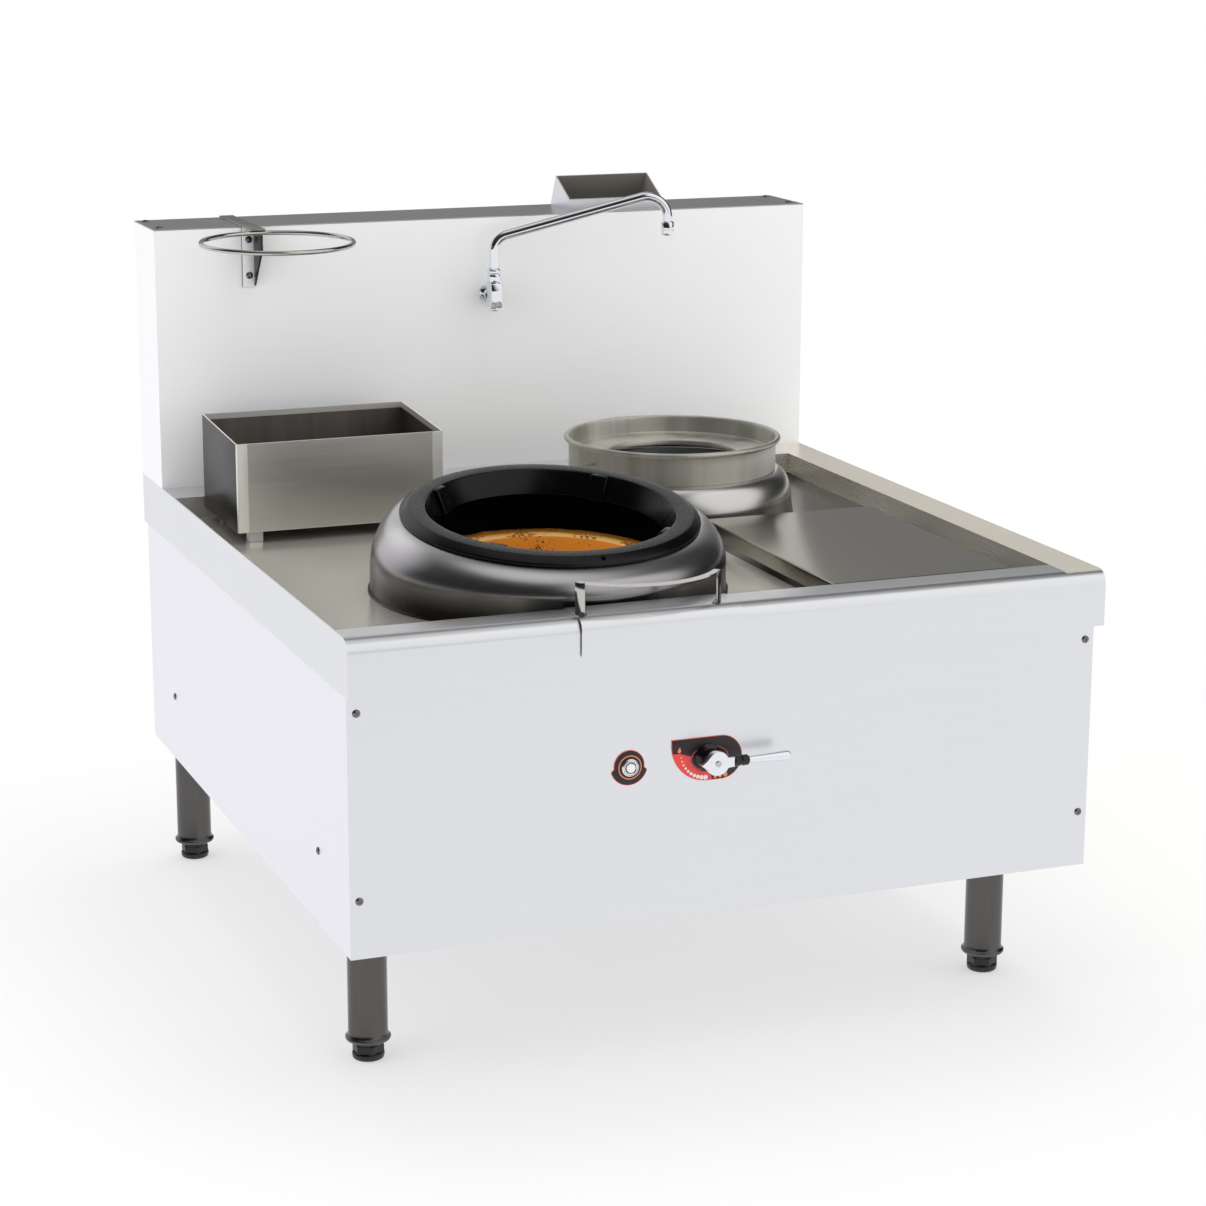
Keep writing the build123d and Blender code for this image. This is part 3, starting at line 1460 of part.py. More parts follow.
arm_length = lever_length - lever_collar_end
with BuildPart() as lever_arm:
    # flaring arm with a round end, on a core that runs through the collar
    with BuildSketch(upright(arm_place)):
        with BuildLine():
            Polyline(
                (0, 0),
                (lever_core_radius, 0),
                (lever_core_radius, collar_length),
                (lever_arm_radius, collar_length),
                (lever_arm_radius, collar_length + arm_length * 0.3),
            )
            Spline(
                (lever_arm_radius, collar_length + arm_length * 0.3),
                (lever_tip_radius, collar_length + arm_length - lever_tip_radius),
                tangents=((0, 1), (0, 1)),
            )
            CenterArc((0, collar_length + arm_length - lever_tip_radius), lever_tip_radius, 0, 90)
            Line((0, collar_length + arm_length), (0, 0))
        make_face()
    revolve(axis=Axis(arm_place.origin, arm_place.z_dir))
save(lever_arm, "lever_arm")

with BuildPart() as lever_screw:
    with BuildSketch(head_place.offset(lever_head_depth)):
        Circle(lever_screw_radius)
    extrude(amount=lever_screw_height)
    with BuildSketch(head_place.offset(lever_head_depth + lever_screw_height)):
        RegularPolygon(lever_screw_socket, 6)
    extrude(amount=-lever_screw_height / 2, mode=Mode.SUBTRACT)
save(lever_screw, "lever_screw")

# ---------------------------------------------------------------- gas valve and pipes
valve_front = panel_front + sheet
valve_place = Plane(origin=(lever_x, valve_front, lever_z), x_dir=(1, 0, 0), z_dir=(0, 1, 0))
with BuildPart() as gas_valve:
    with BuildSketch(valve_place):
        Circle(valve_radius)
    extrude(amount=valve_length)
    with BuildSketch(valve_place):
        Circle(shaft_radius + running_fit)
    extrude(amount=valve_socket + seat_gap, mode=Mode.SUBTRACT)
save(gas_valve, "gas_valve")

gas_y = valve_front + valve_length / 2
gas_start = Vector(gas_inlet_x, rear, gas_inlet_z)
with BuildPart() as gas_pipe:
    with BuildLine():
        FilletPolyline(
            gas_start,
            (gas_inlet_x, gas_y, gas_inlet_z),
            (lever_x, gas_y, gas_inlet_z),
            (lever_x, gas_y, lever_z - valve_radius),
            radius=gas_pipe_bend,
        )
    with BuildSketch(Plane(origin=gas_start, z_dir=(0, -1, 0))):
        Circle(gas_pipe_radius)
        Circle(gas_pipe_bore, mode=Mode.SUBTRACT)
    sweep()
    # union behind the rear panel
    with BuildSketch(front_face(rear)):
        with Locations((gas_inlet_x, gas_inlet_z)):
            Circle(gas_union_radius)
            Circle(gas_pipe_bore, mode=Mode.SUBTRACT)
    extrude(amount=gas_union_length)
    # the end is cut to the round valve body
    with BuildSketch(valve_place):
        Circle(valve_radius + seat_gap)
    extrude(amount=valve_length, mode=Mode.SUBTRACT)
save(gas_pipe, "gas_pipe")

feed_start = Vector(lever_x, valve_front + valve_length, lever_z)
feed_z = bowl_bottom - gas_feed_drop
feed_end = Vector(feed_x, main_y, burner_foot - seat_gap)
with BuildPart() as gas_feed:
    with BuildLine():
        FilletPolyline(
            feed_start,
            (lever_x, feed_start.Y + gas_feed_run[0], lever_z),
            (lever_x, feed_start.Y + gas_feed_run[1], feed_z),
            (feed_x, main_y, feed_z),
            feed_end,
            radius=gas_feed_bend,
        )
    with BuildSketch(Plane(origin=feed_start, z_dir=(0, 1, 0))):
        Circle(gas_feed_radius)
        Circle(gas_feed_bore, mode=Mode.SUBTRACT)
    sweep()
save(gas_feed, "gas_feed")

# ---------------------------------------------------------------- blower and air pipe
blower_x = left + blower_inset[0]
blower_y = front + blower_inset[1]
blower_floor = cabinet_bottom + sheet
blower_z = blower_floor + blower_height
outlet_z = blower_z + blower_radius - air_pipe_radius - 2 * air_pipe_wall
outlet_x = blower_x - 1.5 * blower_radius
with BuildPart() as blower:
    # scroll housing with its tangential outlet
    with BuildSketch(front_face(blower_y + blower_width / 2)):
        with Locations((blower_x, blower_z)):
            Circle(blower_radius)
        with Locations(((blower_x + outlet_x) / 2, outlet_z)):
            Rectangle(blower_x - outlet_x, 2 * (air_pipe_radius + 2 * air_pipe_wall))
    extrude(amount=blower_width)
    # motor on its rear side and the foot
    with BuildSketch(front_face(blower_y + blower_width / 2)):
        with Locations((blower_x, blower_z)):
            Circle(motor_radius)
    extrude(amount=-motor_length)
    with BuildSketch(Plane.XY.offset(blower_floor)):
        with Locations((blower_x, blower_y)):
            Rectangle(blower_foot[0], blower_foot[1])
    extrude(amount=blower_foot[2])
    # socket for the air pipe
    with BuildSketch(Plane(origin=(outlet_x, blower_y, outlet_z), z_dir=(1, 0, 0))):
        Circle(air_pipe_radius - air_pipe_wall)
    extrude(amount=blower_radius, mode=Mode.SUBTRACT)
save(blower, "blower")

air_start = Vector(outlet_x, blower_y, outlet_z)
with BuildPart() as air_pipe:
    with BuildLine():
        FilletPolyline(
            air_start,
            (main_x, main_y, outlet_z),
            (main_x, main_y, bowl_floor + burner_base / 2),
            radius=air_pipe_bend,
        )
    with BuildSketch(Plane(origin=air_start, z_dir=(-1, 0, 0))):
        Circle(air_pipe_radius)
        Circle(air_pipe_radius - air_pipe_wall, mode=Mode.SUBTRACT)
    sweep()
save(air_pipe, "air_pipe")
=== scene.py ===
"""Wok range in its studio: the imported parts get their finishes, and the turned, cast and folded pieces are
modelled afresh in the places that the parts hold.  Sizes in this file are millimetres, the scene is metres.
"""

import logging
import math
from contextlib import contextmanager
from dataclasses import dataclass, field
from enum import Enum
from typing import Callable, Iterator, Optional, Sequence

import bpy
from mathutils import Matrix, Quaternion, Vector


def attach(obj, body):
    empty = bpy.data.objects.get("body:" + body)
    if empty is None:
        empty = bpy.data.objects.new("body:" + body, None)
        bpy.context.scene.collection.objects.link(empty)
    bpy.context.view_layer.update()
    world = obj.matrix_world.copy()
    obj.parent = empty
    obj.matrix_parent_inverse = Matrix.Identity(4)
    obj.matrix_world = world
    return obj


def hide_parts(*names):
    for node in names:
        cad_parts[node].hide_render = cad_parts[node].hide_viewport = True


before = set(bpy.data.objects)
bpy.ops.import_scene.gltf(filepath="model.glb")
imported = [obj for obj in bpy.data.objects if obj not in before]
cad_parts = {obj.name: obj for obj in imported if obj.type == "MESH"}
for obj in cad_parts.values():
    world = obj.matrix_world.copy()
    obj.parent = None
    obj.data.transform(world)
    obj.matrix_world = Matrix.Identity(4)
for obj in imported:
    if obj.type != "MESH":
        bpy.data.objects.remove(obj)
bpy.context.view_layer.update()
LOG = logging.getLogger("wok_range")
MM = 0.001
WELD = 0.00002                 # corners nearer than this, in metres, become one corner
UPWARD, TO_COOK, TO_RIGHT = (0, 0, 1), (0, -1, 0), (1, 0, 0)
QUARTER = math.radians(90)
PANEL_Y = -586.75              # outer face of the front panel
SPLASH_Y = 493.25              # front face of the splash back
SPLASH_TOP = 1144.0
PAN_Z = 665.0                  # floor of the sunken pan
WORKTOP_Z = 702.0
Point = Sequence[float]
Profile = Sequence[Point]
Piece = bpy.types.Object
Tree = bpy.types.NodeTree
Socket = bpy.types.NodeSocket


# ------------------------------------------------------------------ colours and nodes
def linear(hexcode: str) -> tuple[float, float, float, float]:
    """Turn an sRGB hex colour into linear light.

    Args:
        hexcode: six hex digits, with or without a leading hash.

    Returns:
        Linear red, green, blue and an alpha of one.
    """
    digits = hexcode.lstrip("#")
    parts = [int(digits[i : i + 2], 16) / 255 for i in (0, 2, 4)]
    out = [c / 12.92 if c <= 0.04045 else ((c + 0.055) / 1.055) ** 2.4 for c in parts]
    return (out[0], out[1], out[2], 1.0)


def grey(level: float) -> str:
    """Hex grey whose linear value is the level, for ramps that drive a number.

    Args:
        level: linear value from nought to one.

    Returns:
        The colour as a hex code.
    """
    srgb = level * 12.92 if level <= 0.0031308 else 1.055 * level ** (1 / 2.4) - 0.055
    value = max(0, min(255, round(srgb * 255)))
    return f"#{value:02X}{value:02X}{value:02X}"


def feed(tree: Tree, target: bpy.types.Node, **inputs: object) -> None:
    """Set or link the sockets of a node.

    Args:
        tree: node tree of the node.
        target: the node.
        inputs: values or sockets, named in words with underscores, or as in0, in1 by place.
    """
    for name, value in inputs.items():
        by_place = name.startswith("in") and name[2:].isdigit()
        socket = target.inputs[int(name[2:]) if by_place else name.replace("_", " ")]
        if isinstance(value, Socket):
            tree.links.new(value, socket)
        else:
            socket.default_value = value


def node(tree: Tree, kind: str, settings: Optional[dict] = None, **inputs: object) -> bpy.types.Node:
    """Add one node with its settings, its constant inputs and its links.

    Args:
        tree: node tree that gets the node.
        kind: Blender's node type name.
        settings: attributes of the node itself.
        inputs: its inputs, as in feed.

    Returns:
        The new node.
    """
    made = tree.nodes.new(kind)
    for name, value in (settings or {}).items():
        setattr(made, name, value)
    feed(tree, made, **inputs)
    return made


def calc(tree: Tree, operation: str, *values: object) -> Socket:
    """Result of one step of arithmetic on numbers or sockets."""
    inputs = {f"in{i}": value for i, value in enumerate(values)}
    return node(tree, "ShaderNodeMath", {"operation": operation}, **inputs).outputs[0]


def vector(tree: Tree, operation: str, *values: object) -> Socket:
    """Result of one step of vector arithmetic.

    Args:
        tree: node tree that gets the step.
        operation: Blender's name of the operation.
        values: vectors or sockets.

    Returns:
        Its number for a length or a dot product, else its vector.
    """
    inputs = {f"in{i}": value for i, value in enumerate(values)}
    made = node(tree, "ShaderNodeVectorMath", {"operation": operation}, **inputs)
    return made.outputs["Value" if operation in ("LENGTH", "DOT_PRODUCT") else "Vector"]


def noise(tree: Tree, place: Socket, spacing: float, detail: float = 3.0, flat: bool = False) -> Socket:
    """Noise from nought to one.

    Args:
        tree: node tree that gets the texture.
        place: coordinates in metres.
        spacing: size of one blot, millimetres.
        detail: how many finer layers it has.
        flat: whether only the first two coordinates count.

    Returns:
        The noise value.
    """
    settings = {"noise_dimensions": "2D" if flat else "3D"}
    made = node(tree, "ShaderNodeTexNoise", settings, Vector=place, Scale=1000 / spacing, Detail=detail)
    return made.outputs["Fac"]


def blend(tree: Tree, share: Socket, first: object, second: object) -> Socket:
    """Two colours mixed by a share from nought to one."""
    made = node(tree, "ShaderNodeMix", {"data_type": "RGBA"}, Factor=share, in6=first, in7=second)
    return made.outputs[2]


def layered(tree: Tree, share: object, first: bpy.types.Node, second: bpy.types.Node) -> bpy.types.Node:
    """Two shaders mixed by a share from nought to one."""
    return node(tree, "ShaderNodeMixShader", in0=share, in1=first.outputs[0], in2=second.outputs[0])


def fade(tree: Tree, value: Socket, low: float, high: float, most: float = 1.0) -> Socket:
    """Soft step from nought at the low value to the most at the high one."""
    made = node(
        tree, "ShaderNodeMapRange", {"interpolation_type": "SMOOTHSTEP"}, Value=value, From_Min=low,
        From_Max=high, To_Max=most,
    )
    return made.outputs[0]


def ramp(tree: Tree, source: Socket, stops: Sequence[tuple]) -> Socket:
    """Map a value through a colour ramp.

    Args:
        tree: node tree that gets the ramp.
        source: value from nought to one.
        stops: pairs of place and hex colour.

    Returns:
        The ramp's colour output.
    """
    made = node(tree, "ShaderNodeValToRGB", in0=source)
    elements = made.color_ramp.elements
    while len(elements) < len(stops):
        elements.new(0.5)
    for element, (place, hexcode) in zip(elements, stops):
        element.position = place
        element.color = linear(hexcode)
    return made.outputs["Color"]


class Grain(Enum):
    """How the scratches of a metal run."""

    ALONG_X = (1.0, 60.0, 60.0)
    ALONG_Y = (60.0, 1.0, 60.0)
    ALONG_Z = (60.0, 60.0, 1.0)
    SPUN = (0.0, 0.0, 0.0)
    NONE = (20.0, 20.0, 20.0)


@dataclass(frozen=True)
class Finish:
    """A surface with its name, its colour and how rough it is."""

    name: str
    colour: str

    def build(self, tree: Tree, shader: bpy.types.Node, coords: Socket) -> None:
        """Wire the material up."""

    def make(self) -> bpy.types.Material:
        """Build the material in the piece's own coordinates.

        Returns:
            The material.
        """
        mat = bpy.data.materials.new(self.name)
        mat.use_nodes = True
        tree = mat.node_tree
        coords = node(tree, "ShaderNodeTexCoord").outputs["Object"]
        self.build(tree, tree.nodes["Principled BSDF"], coords)
        return mat


@dataclass(frozen=True)
class Steel(Finish):
    """Steel sheet or tube with a ground, spun, drawn or polished surface.

    A ground sheet shows fine scratches in one direction, a spun one shows them in rings, and both smear
    the reflections across them.  Handling leaves faint cloudy patches.
    """

    roughness: float
    grain: Grain = Grain.ALONG_X
    depth: float = 0.04
    clouds: float = 0.05
    contrast: float = 0.03
    scratch: float = 1.0            # scratch spacing, coarser than the real 0.1 mm so that it shows
    metal: float = 1.0              # less than one for a haze of fine scratches that scatters light
    smear: float = 0.0
    centre: Point = (0.0, 0.0, 0.0)
    stain: Optional[tuple] = None   # low corner, high corner and colour of a darker, duller inside
    painted_dark_foot: Optional[tuple] = None  # heights over which the painted dark reflection at the foot fades out, and its colour

    def build(self, tree: Tree, shader: bpy.types.Node, coords: Socket) -> None:
        """Wire up scratches, patches, tone and a faint bump.

        Args:
            tree: the material's node tree.
            shader: its shader.
            coords: object coordinates.
        """
        lined = self.scratches(tree, coords)
        patch = calc(
            tree, "MULTIPLY_ADD", noise(tree, coords, 200.0), self.clouds * 2, self.roughness - self.clouds
        )
        base = linear(self.colour)[:3]
        dark = [c * (1 - self.contrast) for c in base] + [1.0]
        light = [min(1.0, c * (1 + self.contrast)) for c in base] + [1.0]
        colour = blend(tree, lined, dark, light)
        bare: object = self.metal
        # Painted dark reflection: dark brown below the low height, fading to the steel's own colour by the
        # high one.
        if self.painted_dark_foot:
            low, high, dark_foot_colour = self.painted_dark_foot
            height = node(tree, "ShaderNodeSeparateXYZ", Vector=coords).outputs["Z"]
            colour = blend(tree, fade(tree, height, low * MM, high * MM), linear(dark_foot_colour), colour)
        if self.stain:
            inside = self.inside_box(tree, coords)
            colour = blend(tree, inside, colour, linear(self.stain[2]))
            bare = calc(tree, "SUBTRACT", 1.0, inside)
        bump = node(tree, "ShaderNodeBump", Strength=self.depth, Distance=0.6 * MM, Height=lined)
        feed(
            tree, shader, Metallic=bare, Base_Color=colour, Normal=bump.outputs[0],
            Roughness=calc(tree, "MULTIPLY_ADD", lined, self.contrast, patch),
        )
        if self.smear > 0:
            turn = node(tree, "ShaderNodeTangent", {"direction_type": "RADIAL", "axis": "Z"})
            feed(tree, shader, Anisotropic=self.smear, Tangent=turn.outputs[0])

    def scratches(self, tree: Tree, coords: Socket) -> Socket:
        """Scratches along the grain, or in rings about the axis of a spun piece.

        Args:
            tree: the material's node tree.
            coords: object coordinates.

        Returns:
            Value from nought to one.
        """
        place = node(tree, "ShaderNodeMapping", {"vector_type": "POINT"}, Vector=coords)
        if self.grain is not Grain.SPUN:
            feed(tree, place, Scale=[s / 60 for s in self.grain.value])
            return noise(tree, place.outputs[0], self.scratch * 2)
        feed(tree, place, Location=[-c * MM for c in self.centre])
        split = node(tree, "ShaderNodeSeparateXYZ", Vector=place.outputs[0])
        flat = node(tree, "ShaderNodeCombineXYZ", X=split.outputs["X"], Y=split.outputs["Y"])
        reach = vector(tree, "LENGTH", flat.outputs[0])
        rings = node(tree, "ShaderNodeCombineXYZ", X=reach, Y=split.outputs["Z"])
        return noise(tree, rings.outputs[0], self.scratch * 2, flat=True)

    def inside_box(self, tree: Tree, coords: Socket) -> Socket:
        """Find what lies inside the given box.

        Args:
            tree: the material's node tree.
            coords: object coordinates.

        Returns:
            One inside the box, nought outside.
        """
        low, high, _ = self.stain
        middle = [(a + b) / 2 * MM for a, b in zip(low, high)]
        half = [(b - a) / 2 * MM for a, b in zip(low, high)]
        offset = vector(tree, "SUBTRACT", coords, middle)
        away = vector(tree, "ABSOLUTE", vector(tree, "DIVIDE", offset, half))
        split = node(tree, "ShaderNodeSeparateXYZ", Vector=away)
        wide = calc(tree, "MAXIMUM", split.outputs["X"], split.outputs["Y"])
        return calc(tree, "LESS_THAN", calc(tree, "MAXIMUM", wide, split.outputs["Z"]), 1.0)


@dataclass(frozen=True)
class Cast(Finish):
    """Sand-cast or moulded matter with a pitted surface: iron, refractory, foil, plastic or paint."""

    fleck: str
    roughness: float
    grain: float = 2.0              # millimetres between pits
    pits: float = 0.35
    pit_depth: float = 0.5
    fleck_from: float = 0.55
    fleck_to: float = 0.72
    coat: float = 0.0
    shine: float = 0.5

    def build(self, tree: Tree, shader: bpy.types.Node, coords: Socket) -> None:
        """Wire up the pits and the flecks that lie in them.

        Args:
            tree: the material's node tree.
            shader: its shader.
            coords: object coordinates.
        """
        broad = calc(tree, "MULTIPLY", noise(tree, coords, self.grain * 24), 0.5)
        pitted = calc(tree, "MULTIPLY_ADD", noise(tree, coords, self.grain * 2, 4.0), 0.5, broad)
        bump = node(tree, "ShaderNodeBump", Strength=self.pits, Distance=self.pit_depth * MM, Height=pitted)
        plain, fleck = self.colour, self.fleck
        stops = ((0.0, plain), (self.fleck_from, plain), (self.fleck_to, fleck), (1.0, fleck))
        feed(
            tree, shader, Base_Color=ramp(tree, pitted, stops), Coat_Weight=self.coat, Normal=bump.outputs[0],
            Roughness=calc(tree, "MULTIPLY_ADD", pitted, 0.2, self.roughness - 0.1),
            Specular_IOR_Level=self.shine,
        )


# ------------------------------------------------------------------ modelling helpers
def metres(point: Point) -> Vector:
    """A place in millimetres as metres."""
    return Vector(point) * MM


def shift(place: Point) -> Matrix:
    """Move to a place given in millimetres."""
    return Matrix.Translation(metres(place))


def about(place: Point, degrees: float, axis: str) -> Matrix:
    """Turn about an axis through a place given in millimetres."""
    return shift(place) @ Matrix.Rotation(math.radians(degrees), 4, axis) @ shift(-Vector(place))


def alone(piece: Piece) -> Piece:
    """Select one object and make it active.

    Args:
        piece: the object.

    Returns:
        The same object.
    """
    bpy.ops.object.select_all(action="DESELECT")
    piece.select_set(True)
    bpy.context.view_layer.objects.active = piece
    return piece


def renamed(piece: Piece, name: str) -> Piece:
    """Name an object and its mesh alike."""
    piece.name = piece.data.name = name
    return piece


def added(primitive: Callable, name: str, **settings: object) -> Piece:
    """Add a primitive to be shaped further.

    Args:
        primitive: Blender's operator.
        name: name of the piece.
        settings: settings of the operator.

    Returns:
        The new object, its place moved into its mesh.
    """
    bpy.ops.object.select_all(action="DESELECT")
    primitive(**settings)
    bpy.ops.object.transform_apply(location=True, rotation=True, scale=True)
    return renamed(bpy.context.object, name)


@contextmanager
def editing(piece: Piece, mode: str = "EDGE", whole: bool = False) -> Iterator[Piece]:
    """Edit mode on one piece, left again at the end.

    Args:
        piece: the object.
        mode: what is selected, VERT, EDGE or FACE.
        whole: whether all of it is selected at first.

    Yields:
        The same object.
    """
    alone(piece)
    bpy.context.tool_settings.mesh_select_mode = [mode == kind for kind in ("VERT", "EDGE", "FACE")]
    bpy.ops.object.mode_set(mode="EDIT")
    try:
        if whole:
            bpy.ops.mesh.select_all(action="SELECT")
        yield piece
    finally:
        bpy.ops.object.mode_set(mode="OBJECT")


def close_up(weld: bool = False) -> None:
    """In edit mode, turn all faces outward.

    Args:
        weld: whether corners that coincide are joined first.
    """
    bpy.ops.mesh.select_all(action="SELECT")
    if weld:
        bpy.ops.mesh.remove_doubles(threshold=WELD)
    bpy.ops.mesh.normals_make_consistent(inside=False)


def pick(piece: Piece, test: Callable, mode: str = "FACE") -> None:
    """Select the faces, edges or corners that pass a test.

    Args:
        piece: object, in object mode.
        test: function of a face's middle and normal, of an edge's two ends, or of a corner, millimetres.
        mode: FACE, EDGE or VERT.
    """
    mesh = piece.data
    for group in (mesh.vertices, mesh.edges, mesh.polygons):
        group.foreach_set("select", [False] * len(group))
    if mode == "FACE":
        chosen = [face for face in mesh.polygons if test(face.center / MM, face.normal)]
    elif mode == "EDGE":
        chosen = [line for line in mesh.edges if test(*(mesh.vertices[v].co / MM for v in line.vertices))]
    else:
        chosen = [corner for corner in mesh.vertices if test(corner.co / MM)]
    for element in chosen:
        element.select = True


def bevel(
    piece: Piece, size: float, steps: int, test: Optional[Callable] = None, clamp: bool = False
) -> None:
    """Round edges.

    Args:
        piece: the object.
        size: width of the rounding, millimetres.
        steps: its segments.
        test: test of an edge's two ends, or none for all edges.
        clamp: whether roundings stop where they meet.
    """
    if test:
        pick(piece, test, "EDGE")
    with editing(piece, whole=test is None):
        bpy.ops.mesh.bevel(offset=size * MM, segments=steps, affect="EDGES", clamp_overlap=clamp)


def sliced(piece: Piece, place: Point, facing: Point, **settings: object) -> None:
    """Cut all faces along a plane through a place."""
    with editing(piece, "FACE", whole=True):
        bpy.ops.mesh.bisect(plane_co=metres(place), plane_no=facing, **settings)


def opened(piece: Piece, test: Callable) -> None:
    """Take away the faces that pass a test.

    Args:
        piece: the object.
        test: test of a face's middle in millimetres and its normal.
    """
    pick(piece, test)
    with editing(piece, "FACE"):
        bpy.ops.mesh.delete(type="FACE")


def pulled(piece: Piece, test: Callable, move: Point) -> None:
    """Move the corners that pass a test.

    Args:
        piece: the object.
        test: test of a corner, millimetres.
        move: how far they move, millimetres.
    """
    pick(piece, test, "VERT")
    with editing(piece, "VERT"):
        bpy.ops.transform.translate(value=metres(move))


def modify(piece: Piece, kind: str, **settings: object) -> Piece:
    """Add a modifier, set it and apply it.

    Args:
        piece: object to change.
        kind: Blender's modifier type.
        settings: attributes of the modifier.

    Returns:
        The same object.
    """
    alone(piece)
    made = piece.modifiers.new(kind.lower(), kind)
    for name, value in settings.items():
        setattr(made, name, value)
    bpy.ops.object.modifier_apply(modifier=made.name)
    return piece


def thickened(piece: Piece, sheet: float, **settings: object) -> Piece:
    """Give a skin its thickness, millimetres, on its inner side unless told otherwise."""
    return modify(piece, "SOLIDIFY", **{"thickness": sheet * MM, "offset": -1.0, **settings})


def cut(piece: Piece, tool: Piece) -> Piece:
    """Take one closed shape out of another and remove it.

    Args:
        piece: object that is cut.
        tool: object that cuts.

    Returns:
        The cut object.
    """
    modify(piece, "BOOLEAN", object=tool, operation="DIFFERENCE", solver="EXACT")
    bpy.data.objects.remove(tool)
    return piece


def drilled(
    piece: Piece, place: Point, radius: float, depth: float, sides: int, turn: Point = (0, 0, 0)
) -> Piece:
    """Cut a round hole.

    Args:
        piece: object that is cut.
        place: middle of the hole, millimetres.
        radius: its radius.
        depth: its length.
        sides: its corners.
        turn: how it is turned from the vertical, radians.

    Returns:
        The cut object.
    """
    tool = added(
        bpy.ops.mesh.primitive_cylinder_add, "drill", vertices=sides, radius=radius * MM, depth=depth * MM,
        location=metres(place), rotation=turn,
    )
    return cut(piece, tool)


def copy_of(piece: Piece, name: str, move: Matrix) -> Piece:
    """A copy with its own mesh, moved by a matrix that ends up in the mesh.

    Args:
        piece: object to copy.
        name: name of the copy.
        move: the matrix.

    Returns:
        The copy.
    """
    twin = piece.copy()
    twin.data = piece.data.copy()
    bpy.context.collection.objects.link(twin)
    twin.data.transform(move)
    return renamed(twin, name)


def joined(pieces: Sequence[Piece], name: str) -> Piece:
    """Join several meshes into the first of them.

    Args:
        pieces: the objects.
        name: name of the whole.

    Returns:
        The first object.
    """
    alone(pieces[0])
    for piece in pieces[1:]:
        piece.select_set(True)
    bpy.ops.object.join()
    return renamed(pieces[0], name)


@dataclass(frozen=True)
class Ring:
    """One ring of a turned shape: its centre, its radius and how far it leans towards the cook."""

    centre: Point
    radius: float
    lean: float = 0.0


def loft_rings(
    name: str, rings: Sequence[Ring], axis: Point = UPWARD, sides: int = 96, closed: bool = False
) -> Piece:
    """Turn a shape by drawing a circle out from ring to ring.

    Args:
        name: name of the piece.
        rings: the rings in order, millimetres.
        axis: direction of the first ring's axis.
        sides: corners of the circle.
        closed: whether the last ring lies on the first, as on a solid hoop.

    Returns:
        The shaped object, its place in its mesh.
    """
    last = rings[0]
    facing = Quaternion((1, 0, 0), last.lean) if last.lean else Vector(axis).to_track_quat("Z", "Y")
    piece = added(
        bpy.ops.mesh.primitive_circle_add, name, vertices=sides, radius=last.radius * MM, fill_type="NOTHING",
        location=metres(last.centre), rotation=facing.to_euler(),
    )
    with editing(piece, whole=True):
        for ring in rings[1:]:
            bpy.ops.mesh.extrude_edges_move()
            centre = metres(ring.centre)
            step = centre - metres(last.centre)
            if step.length > 0:
                bpy.ops.transform.translate(value=step)
            if abs(ring.lean - last.lean) > 1e-9:
                bpy.ops.transform.rotate(
                    value=-(ring.lean - last.lean), orient_axis="X", orient_type="GLOBAL",
                    center_override=centre,
                )
            grow = ring.radius / last.radius
            if abs(grow - 1) > 1e-9:
                bpy.ops.transform.resize(value=(grow, grow, grow), center_override=centre)
            last = ring
        close_up(closed)
    return piece


def rounded(corners: Profile, radius: float, steps: int = 3, closed: bool = False) -> list[tuple]:
    """Round the corners of a profile.

    Args:
        corners: profile corners, two numbers each.
        radius: rounding radius, made smaller where the runs are short.
        steps: points on each rounding beyond the first.
        closed: whether the profile runs back to its start.

    Returns:
        The rounded profile, which ends on its first point where it is closed.
    """
    points = [Vector(c) for c in corners]
    out: list[tuple] = []
    count = len(points)
    for i, corner in enumerate(points):
        if not closed and i in (0, count - 1):
            out.append(tuple(corner))
            continue
        before = points[i - 1] - corner
        after = points[(i + 1) % count] - corner
        reach = min(radius, before.length * 0.45, after.length * 0.45)
        start = corner + before.normalized() * reach
        end = corner + after.normalized() * reach
        for k in range(steps + 1):
            t = k / steps
            out.append(tuple(start.lerp(corner, t).lerp(corner.lerp(end, t), t)))
    if closed:
        out.append(out[0])
    return out


def arc(middle: Point, radius: float, first: float, last: float, steps: int) -> list[Point]:
    """Points of an arc from one angle to another, degrees."""
    turns = [math.radians(first + (last - first) * i / steps) for i in range(steps + 1)]
    return [(middle[0] + radius * math.cos(t), middle[1] + radius * math.sin(t)) for t in turns]


def turned(
    name: str, origin: Point, axis: Point, profile: Profile, sides: int = 64, closed: bool = False,
    lean: float = 0.0,
) -> Piece:
    """Turn a profile about an axis.

    Args:
        name: name of the piece.
        origin: foot of the axis, millimetres.
        axis: direction of the axis.
        profile: radius and height pairs.
        sides: corners of the circle.
        closed: whether the profile runs back to its start.
        lean: lean of the rings towards the cook, in radians, for a leaning axis.

    Returns:
        The turned object.
    """
    along = Vector(axis).normalized()
    rings = [Ring(tuple(Vector(origin) + along * height), reach, lean) for reach, height in profile]
    return loft_rings(name, rings, axis, sides, closed)


def block(name: str, low: Point, high: Point, edge: float = 0.0, steps: int = 3) -> Piece:
    """A box between two corners with its edges broken.

    Args:
        name: name of the piece.
        low: lowest corner, millimetres.
        high: highest corner, millimetres.
        edge: rounding of all its edges.
        steps: segments of the rounding.

    Returns:
        The box.
    """
    middle = (Vector(low) + Vector(high)) / 2
    size = Vector(high) - Vector(low)
    piece = added(
        bpy.ops.mesh.primitive_cube_add, name, size=1, location=metres(middle), scale=metres(size)
    )
    if edge > 0:
        bevel(piece, edge, steps)
    return piece


